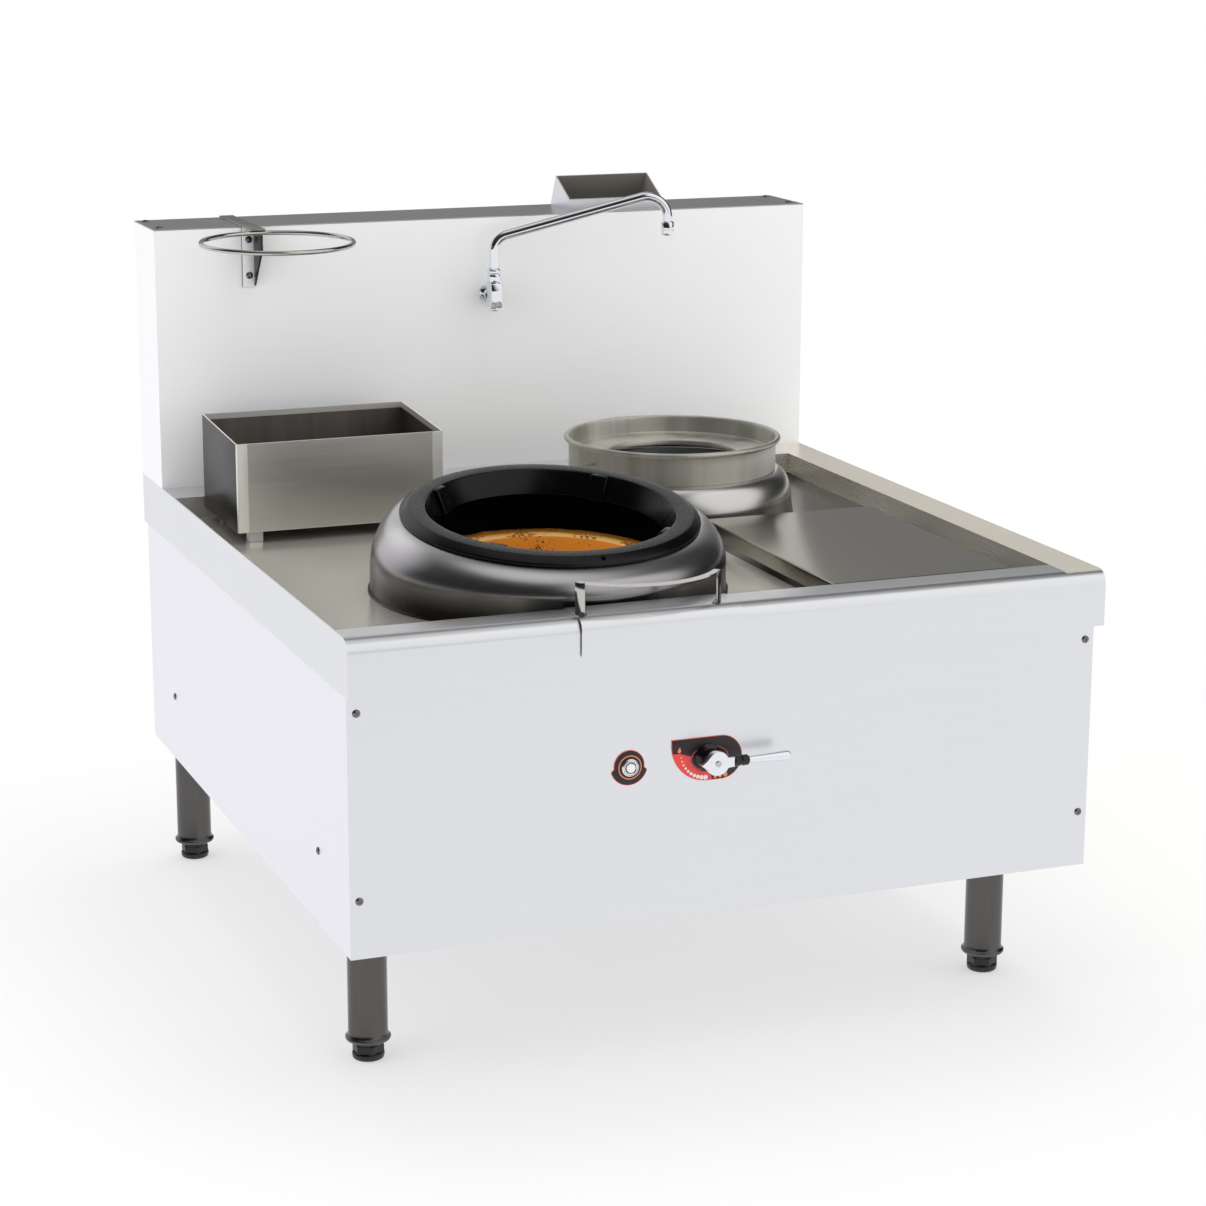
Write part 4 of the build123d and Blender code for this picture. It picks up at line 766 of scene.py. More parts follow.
def advanced(place: Vector, heading: Vector, step: Sequence) -> tuple[Vector, Vector]:
    """Where a tube's centre line gets to after one run or bend.

    Args:
        place: where it is, millimetres.
        heading: unit direction in which it runs.
        step: (length,) for a run, (radius, degrees, direction) for a bend towards a direction.

    Returns:
        The new place and heading.
    """
    if len(step) == 1:
        return place + heading * step[0], heading
    radius, degrees, towards = step
    across = (Vector(towards) - heading * heading.dot(Vector(towards))).normalized()
    turn = math.radians(degrees)
    place = place + across * radius * (1 - math.cos(turn)) + heading * radius * math.sin(turn)
    return place, heading * math.cos(turn) + across * math.sin(turn)


def pipe(
    name: str, start: Point, first: Point, route: Sequence[Sequence], radius: float, sides: int = 40
) -> Piece:
    """Bend a tube out of a circle: runs are drawn out, bends are spun.

    Args:
        name: name of the piece.
        start: centre of its first end, millimetres.
        first: direction in which it sets out.
        route: runs and bends in order, as in advanced.
        radius: outer radius.
        sides: corners round the tube.

    Returns:
        The tube's outer skin, open at both ends.
    """
    place, heading = Vector(start), Vector(first).normalized()
    piece = added(
        bpy.ops.mesh.primitive_circle_add, name, vertices=sides, radius=radius * MM, fill_type="NOTHING",
        location=metres(place), rotation=heading.to_track_quat("Z", "Y").to_euler(),
    )
    with editing(piece, whole=True):
        for step in route:
            onward, turned_to = advanced(place, heading, step)
            if len(step) == 1:
                bpy.ops.mesh.extrude_edges_move()
                bpy.ops.transform.translate(value=metres(onward - place))
            else:
                bend, degrees, towards = step
                across = (Vector(towards) - heading * heading.dot(Vector(towards))).normalized()
                bpy.ops.mesh.spin(
                    steps=max(4, round(degrees / 5)), angle=-math.radians(degrees),
                    center=metres(place + across * bend), axis=heading.cross(across).normalized(),
                )
            place, heading = onward, turned_to
        close_up(True)
    return piece


def folded(name: str, path: Profile, plane: str, start: float, end: float, sheet: float) -> Piece:
    """Fold a strip of sheet: a narrow plane drawn out along a path, then given its thickness.

    Args:
        name: name of the piece.
        path: the outer line of the fold in two numbers, already rounded.
        plane: YZ for a strip that runs along X, XZ for one along Y.
        start: first end of the strip along its length.
        end: second end.
        sheet: thickness.

    Returns:
        The folded strip.
    """
    lift = (lambda p, s: (s, p[0], p[1])) if plane == "YZ" else (lambda p, s: (p[0], s, p[1]))
    piece = added(bpy.ops.mesh.primitive_plane_add, name, size=1)
    mesh = piece.data
    corners = (lift(path[0], start), lift(path[0], end), lift(path[1], start), lift(path[1], end))
    order = sorted(range(4), key=lambda i: (mesh.vertices[i].co.y, mesh.vertices[i].co.x))
    for index, corner in zip(order, corners):
        mesh.vertices[index].co = metres(corner)
    leading = set(order[2:])
    for face in mesh.polygons:
        face.select = False
    for line in mesh.edges:
        line.select = set(line.vertices) == leading
    for corner in mesh.vertices:
        corner.select = corner.index in leading
    with editing(piece):
        for here, there in zip(path[1:], path[2:]):
            bpy.ops.mesh.extrude_edges_move()
            bpy.ops.transform.translate(value=metres(lift(there, 0)) - metres(lift(here, 0)))
        close_up()
    return thickened(piece, sheet)


def outline(name: str, corners: Profile, y: float, thick: float, edge: float = 0.0) -> Piece:
    """Flat plate on the front panel, cut to an outline.

    Args:
        name: name of the piece.
        corners: outline in x and z, one turn without its first point again.
        y: front face.
        thick: thickness behind the front face.
        edge: bevel round the front face.

    Returns:
        The plate.
    """
    piece = added(
        bpy.ops.mesh.primitive_circle_add, name, vertices=len(corners), radius=0.01, fill_type="NGON",
        rotation=(QUARTER, 0, 0),
    )
    for vertex, (x, z) in zip(piece.data.vertices, corners):
        vertex.co = metres((x, y + thick, z))
    with editing(piece, "FACE", whole=True):
        bpy.ops.mesh.extrude_region_move(TRANSFORM_OT_translate={"value": (0, -thick * MM, 0)})
        close_up()
    if edge:
        bevel(piece, edge, 2, lambda a, b: max(a.y, b.y) < y + thick * 0.5)
    return piece


# ------------------------------------------------------------------ finishes of this range
# Stainless sheet, ground along the width.
SHEET = Steel("stainless_sheet_ground_along", "#E6E7E9", 0.28, Grain.ALONG_X, 0.003, 0.02, 0.02)
# The same sheet on the sides, ground from front to rear.
SIDE = Steel("stainless_sheet_ground_along_depth", "#F1F1F7", 0.28, Grain.ALONG_Y, 0.003, 0.02, 0.02)
# Stainless splash back, ground along the width; mostly matt here, for the even tone that it shows.
SPLASH = Steel("stainless_splash_back_ground", "#F9FAFA", 0.38, Grain.ALONG_X, 0.003, 0.02, 0.02, metal=0.12)
# Stainless pan of the worktop, ground along the width, with a haze of fine scratches.
PAN = Steel("stainless_worktop_ground", "#DFDDD5", 0.20, Grain.ALONG_X, 0.004, 0.03, 0.02, metal=0.7)
# Stainless side rim, ground from front to rear, duller than the pan.
RIM = Steel("stainless_rim_worn", "#E2DDD0", 0.34, Grain.ALONG_Y, 0.006, metal=0.55)
# Stainless lift-out plate, ground along the width, darker than the pan.
COVER = Steel("stainless_cover_ground", "#A29D92", 0.20, Grain.ALONG_X, 0.004, 0.04)
# Stainless plates on top of the splash back, ground along the width, greyer than its front.
TOPS = Steel("stainless_top_plates_ground", "#B4B4B4", 0.26, Grain.ALONG_X, 0.01, 0.04, 0.08)
# Stainless front of the utensil box, ground along the width, with coarser scratches.
BOX = Steel("stainless_box_used", "#D0CEC7", 0.29, Grain.ALONG_X, 0.006, 0.07, 0.10, 2.0, 0.9)
# Its corner seams and hem, folded sheet ground upright, lighter than its front.
BOX_SEAM = Steel("stainless_box_seam_ground", "#F0EEE8", 0.34, Grain.ALONG_Z, 0.006, 0.04, metal=0.75)
# Its left side and rear, sheet ground upright, painted nearly black as a painted dark reflection and shade.
BOX_SIDE = Steel("stainless_box_side_sooted", "#232120", 0.26, Grain.ALONG_Z, 0.006, contrast=0.12)
# Its inside, sheet with broad upright streaks.
BOX_INSIDE = Steel("stainless_box_inside_stained", "#8D8680", 0.36, Grain.ALONG_Z, 0.006, 0.08, 0.22, 9.0)
# Main dome, stainless spun on a lathe and polished, with a painted dark reflection, dark brown towards its
# foot.
SPUN = Steel(
    "stainless_dome_spun", "#CFCDCD", 0.24, Grain.SPUN, 0.003, 0.015, 0.015, smear=0.15,
    centre=(-177, -264.75, 700), painted_dark_foot=(676.0, 764.0, "#2C2826"),
)
# Rear dome, stainless spun and polished in the same way.
SPUN_REAR = Steel(
    "stainless_rear_dome_spun", "#D2D0CD", 0.24, Grain.SPUN, 0.003, 0.015, 0.015, smear=0.15,
    centre=(208, 166.25, 700),
)
# Pot ring, stainless strip rolled to a band, with broad upright streaks of light and dark tone that are
# painted reflections.
BAND = Steel("stainless_band_rolled", "#CBC8BF", 0.15, Grain.ALONG_Z, 0.003, 0.03, 0.7, 30.0, 0.95)
# Stainless wire, drawn and polished.
WIRE = Steel("stainless_wire_drawn", "#C4C2BE", 0.08, Grain.NONE, 0.005, 0.02)
# Stainless wall of the gutter, ground from front to rear.
GUTTER_WALL = Steel("stainless_gutter_wall_ground", "#CFCBC0", 0.26, Grain.ALONG_Y, 0.004, metal=0.6)
# Stainless floor of the gutter, ground from front to rear, painted darker than its walls as painted shade
# under the cover plate.
GUTTER = Steel("stainless_gutter_stained", "#6F6C64", 0.22, Grain.ALONG_Y, 0.004)
# Soot burnt on to the inside of the dome.
SOOT = Cast("soot_burnt_on_steel", "#0A0909", "#141211", 0.8, pits=0.2, shine=0.1)
# Screw heads, cold-headed steel with a dull zinc plate.
SCREW = Steel("screw_zinc_dull", "#7C7C80", 0.18, Grain.NONE, 0.01)
# Tap, brass polished and chrome plated.
CHROME = Steel("chrome_plate_polished", "#E9EBEF", 0.03, Grain.NONE, 0.0, 0.0, 0.0)
# Lever and bezel, zinc die casting with a satin plate.
SATIN_ZINC = Steel("zinc_casting_satin_plated", "#EEEFF4", 0.15, Grain.NONE, 0.005, 0.02)
# Leg tubes and base frame, steel as drawn, left dull; their dark grey colour is a painted reflection of the
# dark underside.
LEG = Steel("steel_tube_dull", "#5F5D5B", 0.17, Grain.ALONG_Z, 0.008, 0.05, 0.15, 3.0)
# Bracket strap, stainless flat bar as rolled.
GUSSET = Steel("stainless_bracket_dull", "#98968F", 0.24, Grain.ALONG_Y, 0.006)
# Bracket gusset and plate edge, stainless plate painted dark grey as painted shade.
GUSSET_SIDE = Steel("stainless_gusset_heat_darkened", "#38383A", 0.24, Grain.ALONG_Z, 0.006, contrast=0.12)
# Ducts, rear chamber and furnace bowl, hot-dip galvanised sheet.
GALVANISED = Steel("steel_galvanised", "#A9ACAE", 0.38, Grain.NONE, 0.04, 0.10)
# Valve, unions and pipes, machined brass.
BRASS = Steel("brass_machined", "#C9A35A", 0.25, Grain.NONE, 0.02)
# Flue outlet, stainless sheet ground along the width outside, dull and greyer inside.
FLUE = Steel(
    "stainless_flue_ground", "#DDDBE0", 0.28, Grain.ALONG_X, 0.004,
    stain=((164.0, 541.0, 900.0), (338.0, 636.4, 1300.0), "#85827A"),
)
# Wok ring and burner head, grey iron cast in sand and blackened.
IRON = Cast("iron_sand_cast_blackened", "#020203", "#0B0D10", 0.27, 1.6, 0.14, 0.15, shine=0.27)
# Adjustable feet, cast iron with a black coat.
FOOT = Cast("iron_foot_blackened", "#0E0E10", "#18191B", 0.42, 1.5)
# Furnace lining, refractory castable with a rough, pitted face.
BRICK = Cast("refractory_cast_rough", "#DB8C2E", "#6A431A", 0.85, 1.7, 0.8, 1.2, 0.575, 0.60, shine=0.2)
# Its mouth, the same castable, lighter and more broken.
BRICK_RIM = Cast("refractory_rim_crumbled", "#F3C274", "#9A6524", 0.9, 2.2, 0.9, 1.6, 0.53, 0.56, shine=0.2)
# Badges, plastic foil printed in black, reds, white and orange.
FOIL_BLACK = Cast("foil_printed_black", "#1E171B", "#21191D", 0.35, 0.8, 0.05, 0.1)
FOIL_RED = Cast("foil_printed_red", "#EE4A44", "#EC4E47", 0.35, 0.8, 0.05, 0.1)
FOIL_EDGE = Cast("foil_printed_edge", "#F0605C", "#F0605C", 0.40, 0.8, 0.05, 0.1)
FOIL_WHITE = Cast("foil_printed_white", "#FBEDEE", "#FBEDEE", 0.40, 0.8, 0.05, 0.1)
FOIL_FLAME = Cast("foil_printed_flame", "#F08A5A", "#F08A5A", 0.40, 0.8, 0.05, 0.1)
# Lever collar, button switch and ignition module, nylon moulded in a fine-textured tool.
KNOB = Cast("nylon_moulded_black", "#101012", "#161618", 0.32, 0.8, 0.10, 0.1)
# Hub, nylon moulded in a polished tool.
HUB = Cast("nylon_moulded_glossy_black", "#0A0A0C", "#101012", 0.16, 0.8, 0.02, 0.1)
# Button cap, white ABS moulded in a polished tool.
CAP = Cast("abs_moulded_white", "#F4F4F2", "#EEEEEC", 0.25, 1.0, 0.05, 0.1, coat=0.3)
# Blower, pressed steel sprayed with grey primer.
PRIMER = Cast("steel_grey_primer", "#6D7074", "#7A7D80", 0.55, 1.5, 0.15, 0.2)
# Cross recess of a screw, pressed steel in shadow.
SCREW_DARK = Cast("screw_recess_shadow", "#101012", "#161618", 0.6, 0.8, 0.1)

MADE: dict[str, bpy.types.Material] = {}


def finish_of(finish: Finish) -> bpy.types.Material:
    """The material of a finish, built once.

    Args:
        finish: the finish.

    Returns:
        Its material.
    """
    if finish.name not in MADE:
        MADE[finish.name] = finish.make()
    return MADE[finish.name]


def painted(piece: Piece, finishes: Sequence[Finish], choose: Optional[Callable] = None) -> Piece:
    """Give a piece its finishes.

    Args:
        piece: the object.
        finishes: its finishes in order.
        choose: function of a face's middle in millimetres and its normal that gives the finish's number.

    Returns:
        The same object.
    """
    for finish in finishes:
        piece.data.materials.append(finish_of(finish))
    for face in piece.data.polygons if choose else ():
        face.material_index = int(choose(face.center / MM, face.normal))
    return piece


def dress(
    piece: Piece, finish: Optional[Finish], body: str, slot: str, *nodes: str, smooth: float = 35.0
) -> Piece:
    """Give a piece its finish, its body and the parts that it stands for.

    Args:
        piece: finished object.
        finish: its finish, or none where the piece already has several.
        body: body that it rides on.
        slot: not used.
        nodes: parts that it replaces.
        smooth: angle below which its faces shade smoothly.

    Returns:
        The same object.
    """
    alone(piece)
    bpy.ops.object.shade_smooth_by_angle(angle=math.radians(smooth))
    if finish:
        piece.data.materials.clear()
        painted(piece, (finish,))
    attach(piece, body)
    if nodes:
        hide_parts(*nodes)
    LOG.info("%s rides on %s, for %s", piece.name, body, ", ".join(nodes) or "itself")
    return piece


# ------------------------------------------------------------------ worktop
@dataclass
class Worktop:
    """The folded worktop with its bullnose front and its sunken pan."""

    low: Point = (-600.0, -609.75, 616.0)
    high: Point = (600.0, 640.25, WORKTOP_Z)
    pan_low: Point = (-598.0, -544.75)
    pan_high: Point = (538.0, 405.25)
    bullnose: float = 22.0
    pan_edge: float = 3.0
    sheet: float = 1.8
    gutter: float = 176.0
    holes: Sequence[tuple] = ((-177.0, -264.75, 206.0), (208.0, 166.25, 111.0), (323.5, -444.75, 24.0))
    duct: Sequence[Point] = ((165.0, 542.0, WORKTOP_Z - 15), (337.0, 627.0, WORKTOP_Z + 5))

    def in_pan(self, place: Vector, slack: float = 0.0) -> bool:
        """Whether a place lies in the pan's outline."""
        (left, front), (right, rear) = self.pan_low, self.pan_high
        return left - slack < place.x < right + slack and front - slack < place.y < rear + slack

    def build(self) -> Piece:
        """Fold the sheet, press the pan and cut its holes.

        Returns:
            The worktop.
        """
        piece = block("worktop_shell", self.low, self.high)
        near_top, front = WORKTOP_Z - 1, self.low[1] + 1
        bevel(piece, self.bullnose, 14, lambda a, b: min(a.z, b.z) > near_top and max(a.y, b.y) < front)
        for x in (self.pan_low[0], self.pan_high[0]):
            sliced(piece, (x, 0, 0), (1, 0, 0))
        for y in (self.pan_low[1], self.pan_high[1]):
            sliced(piece, (0, y, 0), (0, 1, 0))
        pick(piece, lambda c, n: n.z > 0.9 and c.z > near_top and self.in_pan(c))
        with editing(piece, "FACE"):
            sink = {"value": (0, 0, (PAN_Z - WORKTOP_Z) * MM)}
            bpy.ops.mesh.extrude_region_move(TRANSFORM_OT_translate=sink)
        bevel(piece, self.pan_edge, 4, lambda a, b: max(a.z, b.z) < PAN_Z + 1 and min(a.z, b.z) > PAN_Z - 1)
        opened(piece, lambda c, n: n.z < -0.9 and c.z < self.low[2] + 1)
        with editing(piece):
            close_up()
        thickened(piece, self.sheet, use_even_offset=True)
        for x, y, reach in self.holes:
            drilled(piece, (x, y, PAN_Z), reach, 30, 96)
        cut(piece, block("duct_cutter", *self.duct))
        sliced(piece, (self.gutter, 0, 0), (1, 0, 0))
        return piece

    def finish_at(self, place: Vector, facing: Vector) -> int:
        """Which finish a face gets.

        Args:
            place: middle of the face, millimetres.
            facing: its normal.

        Returns:
            0 apron and edges, 1 side rim, 2 pan, 3 floor of the gutter with painted shade, 4 its walls.
        """
        level = abs(facing.z)
        if self.in_pan(place, 1.0) and place.z > PAN_Z - 3:
            if place.x <= self.gutter:
                return 2
            # The pan floor under the cover plate takes the painted shade.
            return 3 if level > 0.5 else 4
        return int(level > 0.9 and place.x > self.pan_high[0])

    def dress(self) -> None:
        """Finish the worktop."""
        piece = painted(self.build(), (SHEET, RIM, PAN, GUTTER, GUTTER_WALL), self.finish_at)
        dress(piece, None, "range", "brushed stainless", "worktop", smooth=30)


# ------------------------------------------------------------------ wok station
@dataclass
class WokStation:
    """Spun dome, iron wok ring and refractory mouth of the main burner."""

    axis: Point = (-177.0, -264.75)
    dome_radius: float = 272.5
    dome_foot: Profile = ((0.1, 3.5), (1.7, 3.5), (2.5, 2.7), (2.7, 0.8), (3.5, 0.0), (20.0, 0.0))
    wall: float = 40.0
    shoulder: float = math.radians(80)
    seat_centre: Point = (-177.0, -276.75, 790.5)
    tilt: float = math.radians(7.0)
    ring_radius: float = 230.0
    ring_height: float = 14.0
    ring_opening: float = 192.0
    ring_throat: float = 174.0
    ring_skirt: float = 36.0
    ring_rim: float = 218.0
    hole_reach: float = 222.0
    hole_radius: float = 3.5
    rib_root: float = 180.0
    rib_half: float = 14.5
    rib_turn: float = 45.5
    rib_slant: float = 16.5
    rib_out: float = 4.7
    brick_mouth: float = 169.0
    brick_outer: float = 202.0
    brick_tilt: float = math.radians(3.5)
    brick_centre: Point = (-177.0, -268.75, 701.5)
    brick_throat: float = 110.0
    brick_foot: float = 473.0

    def up(self, lean: float) -> Vector:
        """Axis of a plane that leans down towards the cook."""
        return Vector((0, -math.sin(lean), math.cos(lean)))

    def dome(self) -> Piece:
        """Foot flange, level wall and shoulder up to the tilted seat.

        Returns:
            The dome, sooted inside.
        """
        x, y = self.axis
        seat = Vector(self.seat_centre) - self.up(self.tilt) * (self.ring_height + 0.3)
        start = Vector((x, y, PAN_Z + self.wall))
        rings = [Ring((x, y, PAN_Z + rise), self.dome_radius + out) for rise, out in self.dome_foot]
        steps = 28
        for i in range(steps + 1):
            turn = self.shoulder * i / steps
            rise = math.sin(turn) / math.sin(self.shoulder)
            inward = (1 - math.cos(turn)) / (1 - math.cos(self.shoulder))
            radius = self.dome_radius - (self.dome_radius - self.ring_radius) * inward
            rings.append(Ring(tuple(start.lerp(seat, rise)), radius, self.tilt * rise))
        rings.append(Ring(tuple(seat), self.ring_opening + 13, self.tilt))
        piece = painted(loft_rings("wok_dome", rings, sides=160), (SPUN, SOOT))
        return thickened(piece, 2.0, material_offset=1)

    def iron(self) -> Piece:
        """Hoop with its bevelled rim and the four ribs that carry the wok.

        Returns:
            The wok ring.
        """
        opening, height = self.ring_opening, self.ring_height
        throat, skirt = self.ring_throat, self.ring_skirt
        corners = (
            (opening, 0), (self.ring_rim, 0), (self.ring_radius, -9), (self.ring_radius, -height),
            (opening + 10, -height), (throat + 10, -skirt), (throat, -skirt),
        )
        profile = rounded(corners, 2.2, 3, closed=True)
        hoop = turned("wok_ring_iron", self.seat_centre, self.up(self.tilt), profile, 144, True, self.tilt)
        hole = Vector((0, -math.cos(self.tilt), -math.sin(self.tilt))) * self.hole_reach
        drilled(hoop, Vector(self.seat_centre) + hole, self.hole_radius, 12, 24, (self.tilt, 0, 0))
        rib = block("rib", (self.rib_root, -self.rib_half, -skirt), (opening + 4.0, self.rib_half, -0.3))
        pulled(rib, lambda c: c.z < -skirt + 1, (-self.rib_slant, 0, 0))
        bevel(rib, 2.0, 3)
        tilted = shift(self.seat_centre) @ Matrix.Rotation(self.tilt, 4, "X")
        ribs = []
        for i in range(4):
            turn = Matrix.Rotation(math.radians(self.rib_turn + 90 * i), 4, "Z")
            ribs.append(copy_of(rib, f"rib_{i}", tilted @ turn @ shift((self.rib_out, 0, 0))))
        bpy.data.objects.remove(rib)
        return joined([hoop, *ribs], "wok_ring_iron")

    def brick(self) -> Piece:
        """Refractory lining with its tilted, slightly ragged mouth.

        Returns:
            The lining.
        """
        x, y = self.axis
        mouth, tilt = Vector(self.brick_centre), self.brick_tilt
        outer, inner = self.brick_outer, self.brick_mouth
        rings = [Ring((x, y, z), outer) for z in (self.brick_foot, 660.0)]
        edge = ((4, -3, outer - 0.5), (4, -0.6, outer - 3), (0, -0.6, inner + 12), (0, -0.8, inner + 3))
        for back, rise, radius in (*edge, (0, -4, inner - 0.5)):
            rings.append(Ring(tuple(mouth + Vector((0, back, rise))), radius, tilt))
        lip, foot = mouth - Vector((0, 0, 4)), Vector((x, y, 560.0))
        for i in range(1, 13):
            t = i / 12
            radius = inner - (inner - self.brick_throat) * t
            rings.append(Ring(tuple(lip.lerp(foot, t)), radius, tilt * (1 - t)))
        rings += [Ring((x, y, z), self.brick_throat) for z in (540.0, 510.0, self.brick_foot)]

        def crumbled(place: Vector, facing: Vector) -> bool:
            """Whether a face lies on the edge of the mouth."""
            reach = math.hypot(place.x - x, place.y - mouth.y)
            return inner - 2.5 < reach < inner + 13 and place.z > mouth.z - 20

        piece = painted(loft_rings("firebrick_lining", rings, sides=144), (BRICK, BRICK_RIM), crumbled)
        ragged = bpy.data.textures.new("ragged", "CLOUDS")
        ragged.noise_scale = 12 * MM
        return modify(
            piece, "DISPLACE", texture=ragged, strength=2.2 * MM, mid_level=0.5, texture_coords="GLOBAL"
        )

    def dress(self) -> None:
        """Finish dome, ring and lining."""
        dress(self.dome(), None, "range", "satin stainless", "main_dome", smooth=40)
        dress(self.iron(), IRON, "iron_ring", "cast iron", "wok_ring", smooth=32)
        dress(self.brick(), None, "range", "firebrick", "firebrick", smooth=50)


# ------------------------------------------------------------------ rear pot station
@dataclass
class PotStation:
    """Rear dome and the banded pot ring that stands on it."""

    axis: Point = (208.0, 166.25)
    dome_foot: Profile = ((209.5, 0.1), (209.5, 1.7), (208.6, 2.4), (207.8, 3.4), (206, 16), (204, 32))
    ring_foot: float = 746.3
    radius: float = 176.0
    height: float = 56.0
    bead: float = 4.6
    hole: float = 112.0
    pin_turn: float = math.radians(200)
    pin_rise: float = math.radians(15)
    pin: Profile = ((2.5, 0.5), (2.5, 21.5), (0.01, 21.5))

    def dome(self) -> Piece:
        """Level dome with a foot flange.

        Returns:
            The dome.
        """
        profile = list(self.dome_foot)
        for i in range(1, 21):
            turn = QUARTER * i / 20
            profile.append((176 + 28 * math.cos(turn), 32 + 49 * math.sin(turn)))
        profile.append((150, 81))
        return thickened(turned("pot_dome", (*self.axis, PAN_Z), UPWARD, profile, 144), 2.0)

    def ring(self) -> Piece:
        """Band with its rolled bead, ledge and down-turned lip, and its stub pin.

        Returns:
            The pot ring.
        """
        outer, inner = self.radius, self.hole
        skin = outer - 2
        profile = [(outer, 0.0), (outer, 20.0), (outer + 0.2, 34.0), (outer + 0.2, 44.0)]
        profile += arc((outer + self.bead - 1.0, self.height - self.bead), self.bead, -120, 180, 14)
        profile += [(skin, 44.0), (skin, 27.5), (outer - 4.0, 25.5), (outer - 6.0, 25.0), (inner + 6, 25.0)]
        profile += [(inner + 2, 24.0), (inner, 21.5), (inner, 15.5), (inner + 2, 15.5), (inner + 2, 21.0)]
        profile += [(inner + 4, 23.0), (outer - 6, 23.0), (skin, 21.0), (skin, 0.0), (outer, 0.0)]
        band = turned("pot_ring_band", (*self.axis, self.ring_foot), UPWARD, profile, 144, closed=True)
        outward = Vector((math.cos(self.pin_turn), math.sin(self.pin_turn), 0))
        along = outward * math.cos(self.pin_rise) + Vector((0, 0, math.sin(self.pin_rise)))
        start = Vector((*self.axis, self.ring_foot + 24)) + outward * skin
        pin = turned("pot_ring_pin", start, along, rounded(self.pin, 0.8, 2), 20)
        return joined([band, pin], "pot_ring_band")

    def dress(self) -> None:
        """Finish dome and ring."""
        dress(self.dome(), SPUN_REAR, "range", "satin stainless", "rear_dome", smooth=40)
        dress(self.ring(), BAND, "pot_ring", "satin stainless", "pot_ring", smooth=40)


# ------------------------------------------------------------------ folded pieces on the worktop
@dataclass
class CoverPlate:
    """Lift-out plate over the gutter with its folded skirts and corner tabs."""

    low: Point = (173.0, -540.75)
    high: Point = (474.0, -60.75)
    top: float = WORKTOP_Z
    skirt: float = 25.0
    tab: float = 36.7
    tab_width: float = 24.0
    sheet: float = 2.0

    def build(self) -> Piece:
        """Fold the plate and weld on its tabs.

        Returns:
            The plate.
        """
        (left, front), (right, rear) = self.low, self.high
        hang = self.top - self.skirt
        corners = ((left, hang), (left, self.top), (right, self.top), (right, hang))
        pieces = [folded("cover_plate_folded", rounded(corners, 3.2, 4), "XZ", front, rear, self.sheet)]
        for x in (left, right - self.sheet):
            for y in (front, rear - self.tab_width):
                far = (x + self.sheet, y + self.tab_width, hang + 2)
                pieces.append(block("tab", (x, y, self.top - self.tab), far, 0.3, 2))
        return joined(pieces, "cover_plate_folded")

    def dress(self) -> None:
        """Finish the plate."""
        dress(self.build(), COVER, "cover_plate", "brushed stainless", "cover_plate")


@dataclass
class UtensilBox:
    """Open sheet box whose rim climbs to the rear, with a folded hem; its block feet keep their drawn shape.
    """

    low: Point = (-549.0, 179.25, 684.0)
    high: Point = (-197.0, 403.25, 831.0)
    climb: float = 13.0
    sheet: float = 1.5
    hem: float = 10.0
    hem_inset: float = 1.2
    seam: float = 19.0

    def build(self) -> Piece:
        """Shape the box from a block, open it, give it walls and fold its hem.

        Returns:
            The box.
        """
        (left, front, foot), (right, rear, top) = self.low, self.high
        piece = block("utensil_box_sheet", self.low, self.high)
        pulled(piece, lambda c: c.z > top - 1 and c.y > rear - 1, (0, 0, self.climb))
        opened(piece, lambda c, n: n.z > 0.5)
        bevel(piece, 2.2, 4, lambda a, b: abs(a.z - b.z) > 50 or max(a.z, b.z) < foot + 1)
        thickened(piece, self.sheet)
        for x in (left + self.seam, right - self.seam):
            sliced(piece, (x, 0, 0), (1, 0, 0))
        painted(piece, (BOX, BOX_SEAM, BOX_SIDE, BOX_INSIDE), self.finish_at)
        inset = self.hem_inset
        hem = block(
            "hem", (left + inset, front + inset, top - self.hem), (right - inset, rear - inset, top + 0.05)
        )
        pulled(hem, lambda c: c.y > rear - 3, (0, 0, self.climb))
        opened(hem, lambda c, n: abs(n.z) > 0.5)
        return joined([piece, painted(thickened(hem, 1.8), (BOX_SEAM,))], "utensil_box_sheet")

    def finish_at(self, place: Vector, facing: Vector) -> int:
        """Which finish a face gets.

        Args:
            place: middle of the face, millimetres.
            facing: its normal.

        Returns:
            0 front, 1 ground seam, 2 side with painted dark reflection, 3 stained inside.
        """
        (left, front, foot), (right, rear, _) = self.low, self.high
        skin = 1.0
        within = left + skin < place.x < right - skin and front + skin < place.y < rear - skin
        if within and place.z > foot + skin:
            return 3
        if facing.y < -0.5:
            return 0 if left + self.seam < place.x < right - self.seam else 1
        if abs(facing.z) > 0.7 and place.z > foot + 50:
            return 1
        # Left side and rear take the painted dark reflection; the right side keeps the front's finish.
        if facing.x < -0.5 or facing.y > 0.5:
            return 1 if place.y < front + 6 else 2
        return 0

    def dress(self) -> None:
        """Finish the box."""
        dress(self.build(), None, "utensil_box", "satin stainless", "utensil_box", smooth=30)


